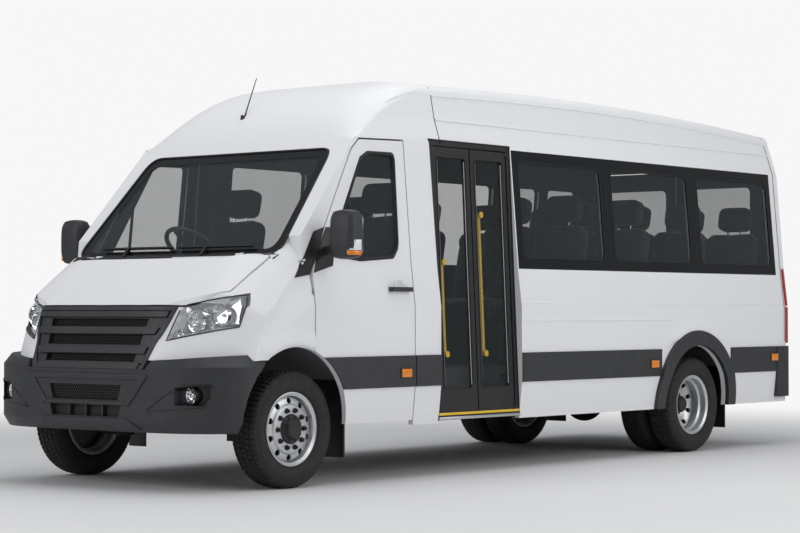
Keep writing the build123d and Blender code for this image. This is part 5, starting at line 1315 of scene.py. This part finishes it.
add_tube(header, [entry_point(s, RISE - 0.004, 0.007) for s in (ENTRY_FRONT, ENTRY_REAR)], 0.005, 6)
piece("entrance_seal", header, "rubber", "body")

# ------------------------------------------------------------------ body side: seams, markers and lamps
ROOF_CROWNS = [(1.420, 2.525), (2.600, 2.548), (5.620, 2.455)]      # station, height
SEAMS = ((1.420, (2.124,)), (5.612, (0.80, 1.06, 1.31, 1.7)))       # station, heights below the cant
SEAM_OUT, SEAM_UP = 1.0004, 0.0006
DRIP_STATIONS = [1.425 + (5.608 - 1.425) * i / 24 for i in range(25)]
DRIP_OUT = 0.0015
LEFT_PANES = [(2.240, 3.195), (3.330, 4.330), REAR_PANE]
RIGHT_PANES = [(1.385, 2.120), (2.240, 3.195), (3.330, 4.330), (4.470, 4.945), (5.090, 5.490)]
MARKERS = [(0.945, 0.652, "left_cab_door", 1), (3.745, 0.654, "body", 1), (5.440, 0.675, "body", 1),
           (0.945, 0.652, "right_cab_door", -1), (3.745, 0.654, "body", -1), (5.440, 0.675, "body", -1),
           (2.350, 0.654, "body", -1)]
LENS_HALF, BASE_HALF = (0.048, 0.026), (0.054, 0.032)
TAIL_LENSES = {"red": [(0.782, 1.064, 0), (1.070, 1.360, 0)], "lens_core": [(1.000, 1.060, 1)],
               "amber": [(1.074, 1.130, 1)]}        # foot, head, and 1 for a lens on the rear face only


def crown_at(s):
    """The roof's crown height at a station, by the three sections it is lofted through."""
    return through_three(ROOF_CROWNS, s)


def roof_half_section(crown):
    """Half of the roof's outer section, from the band's top to the middle."""
    return roof_edge(crown)[::-1] + [(x, crown_line(x, crown)) for x in (0.60, 0.45, 0.30, 0.15, 0.0)]


seam, drip, joints, rings = (bmesh.new() for _ in range(4))
for s, heights in SEAMS:
    half = [(side_x(z), z) for z in heights] + roof_half_section(crown_at(s))
    whole = half + [(-x, z) for x, z in reversed(half[:-1])]
    add_tube(seam, [Vector((x * SEAM_OUT, st(s), z + SEAM_UP)) for x, z in whole], 0.0028, 6)
piece("body_seams", seam, "rubber", "body")
for side in (1, -1):
    low = [SHOULDER] * len(DRIP_STATIONS)
    high = [(0.8215, crown_at(s) - 0.122) for s in DRIP_STATIONS]
    for line, radius in ((low, 0.0075), (high, 0.0055)):
        path = [Vector((side * (x + DRIP_OUT), st(s), z)) for s, (x, z) in zip(DRIP_STATIONS, line)]
        add_tube(drip, path, radius, 8)
piece("roof_drip_rails", drip, "paint", "body")
for s in (3.2625, 4.400):
    side_patch(joints, box(s - 0.003, 1.318, s + 0.003, 2.088), 1, 0.0008, 0.002)
piece("window_joints", joints, "rubber", "body")
for side, panes in ((1, LEFT_PANES), (-1, RIGHT_PANES)):
    for start, end in panes:
        window = rounded(box(start, PANE_LOW, end, PANE_HIGH), PANE_CORNER, 6)
        path = [Vector((side * (side_x(p.y) - 0.001), st(p.x), p.y)) for p in window]
        add_tube(rings, path, 0.0042, 6, closed=True)
piece("window_seals", rings, "rubber", "body")

for number, (s, z, body, side) in enumerate(MARKERS):
    lens, base = bmesh.new(), bmesh.new()
    for bm, (half_s, half_z), lift, depth in ((lens, LENS_HALF, 0.021, 0.010), (base, BASE_HALF, 0.014, 0.006)):
        side_patch(bm, box(s - half_s, z - half_z, s + half_s, z + half_z), side, lift, depth)
    piece(f"side_marker_{number}", lens, "amber", body, bevel=0.006, segments=3)
    piece(f"side_marker_base_{number}", base, "black", body, bevel=0.003)

for side, name in SIDES:
    for material, spans in TAIL_LENSES.items():
        bm = bmesh.new()
        for low, high, rear_only in spans:
            rows = []
            for z in (low, low + 0.006, high - 0.006, high):
                out = (0.004 if z in (low, high) else 0.010) + 0.003 * rear_only
                half = side_x(z)
                row = [(half + out, 5.628), (half + out, 5.655), (half - 0.010 + out, 5.672),
                       (half - 0.032, 5.684 + out)]
                row = row[3 * rear_only:] + [(half - 0.075, 5.689 + out), (half - 0.115, 5.689 + out)]
                back = [(half - 0.115, 5.672), (half - 0.040, 5.668)]
                if not rear_only:
                    back.append((half - 0.012, 5.628))
                rows.append([Vector((side * x, st(s), z)) for x, s in row + back])
            add_grid(bm, rows, close_columns=True, caps=True)
        piece(f"{name}_tail_lens_{material}", bm, material, "body", crease=40)


# ------------------------------------------------------------------ cab doors: mirrors, seals and handles
MIRROR_PANE_Y = st(MIRROR_S) + 0.0595
REPEATER_PLAN = ((1.222, -0.062), (1.242, -0.055), (1.258, -0.036), (1.262, -0.012), (1.262, 0.022),
                 (1.240, 0.0), (1.224, -0.040))
PIVOT = [(0, -0.030), (0.019, -0.030), (0.023, -0.024), (0.023, 0.024), (0.019, 0.030), (0, 0.030)]
HANDLE_Z = 1.180
HANDLE_DISH = [(0.030, 0.0004), (0.038, 0.0016), (0.042, 0.0060), (0.046, 0.0055), (0.050, 0.0002)]
DOOR_WINDOW = [(0.290, 1.362), (0.618, 1.952), (0.690, 1.994), (0.940, 1.998), (0.922, 1.430), (0.872, 1.366),
               (0.560, 1.345)]
DOOR_DIVIDER = [(0.470, 1.360), (0.490, 1.360), (0.502, 1.728), (0.482, 1.712)]
for side, name in SIDES:
    door = f"{name}_cab_door"
    glass, repeater, amber, seal, dish, pivot = (bmesh.new() for _ in range(6))
    pane = [(side * (MIRROR_X + dx), MIRROR_Z + dz) for dx, dz in box(-0.074, -0.118, 0.074, 0.118)]
    add_prism(glass, [(q.x, MIRROR_PANE_Y, q.y) for q in rounded(pane, 0.035, 5)], (0, 0.003, 0))
    for low, high, target in ((1.358, 1.384, amber), (1.386, 1.448, repeater)):
        add_grid(target, [[Vector((side * x, st(MIRROR_S) + dy, z)) for x, dy in REPEATER_PLAN]
                          for z in (low, (low + high) / 2, high)], close_columns=True, caps=True)
    add_turned(pivot, PIVOT, Vector((side * 1.062, st(0.236), 1.392)), Vector((0, 0, 1)), 20)
    path = [Vector((side * (side_x(q.y) + 0.001), st(q.x), q.y)) for q in rounded(DOOR_WINDOW, 0.045, 5)]
    add_tube(seal, path, 0.0095, 8, closed=True)
    side_patch(seal, DOOR_DIVIDER, side, 0.002, 0.008)
    handle = Vector((side * side_x(HANDLE_Z), st(0.905), HANDLE_Z))
    add_turned(dish, HANDLE_DISH, handle, Vector((side, 0, 0.02)), 40)
    piece(f"{name}_mirror_glass", glass, "chrome", door, bevel=0.001)
    piece(f"{name}_mirror_repeater", repeater, "lens_core", door, bevel=0.002)
    piece(f"{name}_mirror_indicator", amber, "amber", door, bevel=0.002)
    piece(f"{name}_mirror_pivot", pivot, "black", door)
    piece(f"{name}_window_seal", seal, "rubber", door)
    piece(f"{name}_handle_dish", dish, "paint", door, crease=60)

# ------------------------------------------------------------------ pressed lines and wheel-arch lips
PRESSED_LINES = ((1.085, 5.600, 0.0065), (0.970, 3.960, 0.0075), (0.470, 3.800, 0.004))    # z, end, radius
PRESSED_STARTS = ((1, 2.175), (-1, 1.45))
LINE_STEPS, LINE_SUNK = 30, 0.0035
creases = bmesh.new()
for z, end, radius in PRESSED_LINES:
    for side, start in PRESSED_STARTS:
        x = side * (side_x(z) - LINE_SUNK)
        stations = [start + (end - start) * i / LINE_STEPS for i in range(LINE_STEPS + 1)]
        add_tube(creases, [Vector((x, st(s), z)) for s in stations], radius, 10)
piece("pressed_lines", creases, "paint", "body", crease=60)

LIP_STEPS, LIP_TAPER, LIP_OUT = 36, 0.15, 0.0006


def arch_lip(name, trees, centre, height, radii, first_station, lowest):
    """A raised lip round a wheel opening, from a station or a height behind it to a height ahead of it."""
    bm = bmesh.new()
    for side in (1, -1):
        rows = []
        for i in range(LIP_STEPS + 1):
            t = i / LIP_STEPS
            taper = min(1.0, t / LIP_TAPER if first_station is None else 1.0, (1 - t) / LIP_TAPER)
            row = []
            for r, lift in radii:
                low_angle = math.asin((lowest - height) / r)
                first = low_angle if first_station is None else math.acos((first_station - centre) / r)
                a = first + (math.pi - low_angle - first) * t
                s, z = centre + r * math.cos(a), height + r * math.sin(a)
                row.append(cast_side(trees[side], st(s), z, LIP_OUT + lift * taper, side))
            rows.append(row)
        add_grid(bm, rows)
    piece(name, bm, "paint", "body", crease=60)


FRONT_LIP = ((0.456, 0.004), (0.462, 0.011), (0.485, 0.010), (0.515, 0.006), (0.560, 0.0))      # radius, lift
REAR_LIP = ((0.541, 0.004), (0.545, 0.014), (0.570, 0.0125), (0.600, 0.006), (0.640, 0.0))
WING_TREE = tree_of("wings", "cab_frame")
arch_lip("rear_arch_lips", {1: tree_of("side_left"), -1: tree_of("side_right")}, 4.325, 0.345, REAR_LIP, None,
         0.775)
arch_lip("front_arch_lips", {1: WING_TREE, -1: WING_TREE}, -0.040, 0.375, FRONT_LIP, 0.116, 0.760)

# ------------------------------------------------------------------ entrance jambs in body colour
JAMB_HEIGHTS = (0.346, 0.45, 0.567, 0.75, 0.90, 1.060, 1.20, 1.310, 1.6, 1.9, 2.095, 2.118)
JAMB_OUT, JAMB_IN = 0.0006, 0.03        # past the side's face, and behind the doors' plane
jambs = bmesh.new()
for s, thick in ((ENTRY_FRONT, 0.0025), (ENTRY_REAR, -0.0025)):
    rows = []
    for z in JAMB_HEIGHTS:
        outer, inner = side_x(z) + JAMB_OUT, entry_plane_x(z) - JAMB_IN
        plan = ((outer, 0), (inner, 0), (inner, thick), (outer, thick))
        rows.append([Vector((x, st(s) + y, z)) for x, y in plan])
    add_grid(jambs, rows, close_columns=True, caps=True)
piece("entrance_jambs", jambs, "paint", "body")

# ------------------------------------------------------------------ antenna
aerial = bmesh.new()
foot = Vector((-0.200, st(0.770), 2.262))
direction = Vector((0, 0.40, 0.92)).normalized()
add_turned(aerial, [(0, 0), (0.022, 0), (0.020, 0.010), (0.012, 0.022), (0.008, 0.034), (0, 0.036)], foot,
           Vector((0, -0.5, 0.87)), 24)
add_tube(aerial, [foot + direction * d for d in (0.01, 0.05, 0.12, 0.21, 0.305)],
         [0.0062, 0.0048, 0.0040, 0.0034, 0.0026], 10)
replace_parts(piece("roof_antenna", aerial, "black", "body"), "antenna")


# ------------------------------------------------------------------ stage, lights and camera
BACKDROP = (0.93, 0.93, 0.935, 1)
FADE_START, FADE_END = 3.5, 9.5         # metres from the vehicle's middle
FLOOR_HALF = 60.0


def combined(nt, operation, first, second):
    """One of the Math node's operations on two sockets."""
    made = nt.nodes.new("ShaderNodeMath")
    made.operation = operation
    for value, socket in zip((first, second), made.inputs):
        nt.links.new(value, socket)
    return made.outputs[0]


def blend_to_output(nt, share, first, second, output):
    """Sends two shaders to the output node, mixed by share."""
    mix = shader(nt, "MixShader", Fac=share)
    nt.links.new(first.outputs[0], mix.inputs[1])
    nt.links.new(second.outputs[0], mix.inputs[2])
    nt.links.new(mix.outputs[0], nt.nodes[output].inputs["Surface"])


def stage_material():
    """A pale floor that takes the vehicle's shadow; the camera sees it fade to the backdrop with distance."""
    m, nt, bsdf = new_material("studio_floor")
    set_sockets(nt, bsdf, Roughness=0.7,
                Base_Color=two_tone(nt, noise(nt, 0.4), (0.78, 0.78, 0.785), (0.81, 0.81, 0.815)))
    length = nt.nodes.new("ShaderNodeVectorMath")
    length.operation = "LENGTH"
    nt.links.new(shader(nt, "TexCoord").outputs["Object"], length.inputs[0])
    far = shader(nt, "MapRange", Value=length.outputs["Value"], From_Min=FADE_START, From_Max=FADE_END)
    far.interpolation_type = "SMOOTHSTEP"
    seen = shader(nt, "LightPath").outputs["Is Camera Ray"]
    plain = shader(nt, "Emission", Color=BACKDROP, Strength=1.0)
    blend_to_output(nt, combined(nt, "MULTIPLY", far.outputs["Result"], seen), bsdf, plain, "Material Output")
    return m


floor_mesh = bpy.data.meshes.new("studio_floor")
floor_mesh.from_pydata([(x, y, 0) for x, y in box(-FLOOR_HALF, -FLOOR_HALF, FLOOR_HALF, FLOOR_HALF)], [],
                       [(0, 1, 2, 3)])
floor_mesh.materials.append(stage_material())
floor_object = linked("studio_floor", floor_mesh)


def area_light(name, place, target, size, power):
    data = bpy.data.lights.new(name, "AREA")
    data.shape = "RECTANGLE"
    data.size, data.size_y = size
    data.energy = power
    light = linked(name, data)
    light.location = place
    light.rotation_mode = "QUATERNION"
    light.rotation_quaternion = (Vector(target) - Vector(place)).to_track_quat("-Z", "Y")


area_light("top_softbox", (0.5, -0.5, 7.5), (0, 0, 1), (6.0, 10.0), 285)
area_light("side_softbox", (9.0, 1.0, 4.2), (0, 0.3, 1.2), (9.0, 4.0), 250)
area_light("front_softbox", (-2.5, -10.5, 4.6), (0, -2.5, 1.0), (6.0, 4.0), 204)

world = bpy.data.worlds.new("studio")
world.use_nodes = True
scene.world = world
wnt = world.node_tree
looking = shader(wnt, "SeparateXYZ", Vector=shader(wnt, "TexCoord").outputs["Generated"])
rise = shader(wnt, "MapRange", Value=looking.outputs["Z"], From_Min=-1.0)
sky = two_tone(wnt, rise.outputs["Result"], (0.62, 0.63, 0.64), (0.80, 0.82, 0.85), start=0.46, end=0.75)
background = wnt.nodes["Background"]
set_sockets(wnt, background, Color=sky, Strength=0.42)
rays = shader(wnt, "LightPath").outputs
seen = combined(wnt, "MAXIMUM", rays["Is Camera Ray"], rays["Is Transmission Ray"])
blend_to_output(wnt, seen, background, shader(wnt, "Background", Color=BACKDROP), "World Output")

CAMERA_AT = Vector((9.4527, -11.8469, 1.0363))
CAMERA_AZIMUTH, CAMERA_PITCH = math.radians(39.4269), math.radians(1.1565)
camera_data = bpy.data.cameras.new("camera")
camera_data.sensor_width = 36.0
camera_data.lens = 97.79
camera_data.clip_end = 200.0
camera = bpy.data.objects.new("camera", camera_data)
camera.location = CAMERA_AT
camera.rotation_mode = "QUATERNION"
camera.rotation_quaternion = Vector((
    -math.sin(CAMERA_AZIMUTH) * math.cos(CAMERA_PITCH),
    math.cos(CAMERA_AZIMUTH) * math.cos(CAMERA_PITCH),
    math.sin(CAMERA_PITCH),
)).to_track_quat("-Z", "Y")
scene.collection.objects.link(camera)
scene.camera = camera
scene.view_settings.view_transform = "Standard"
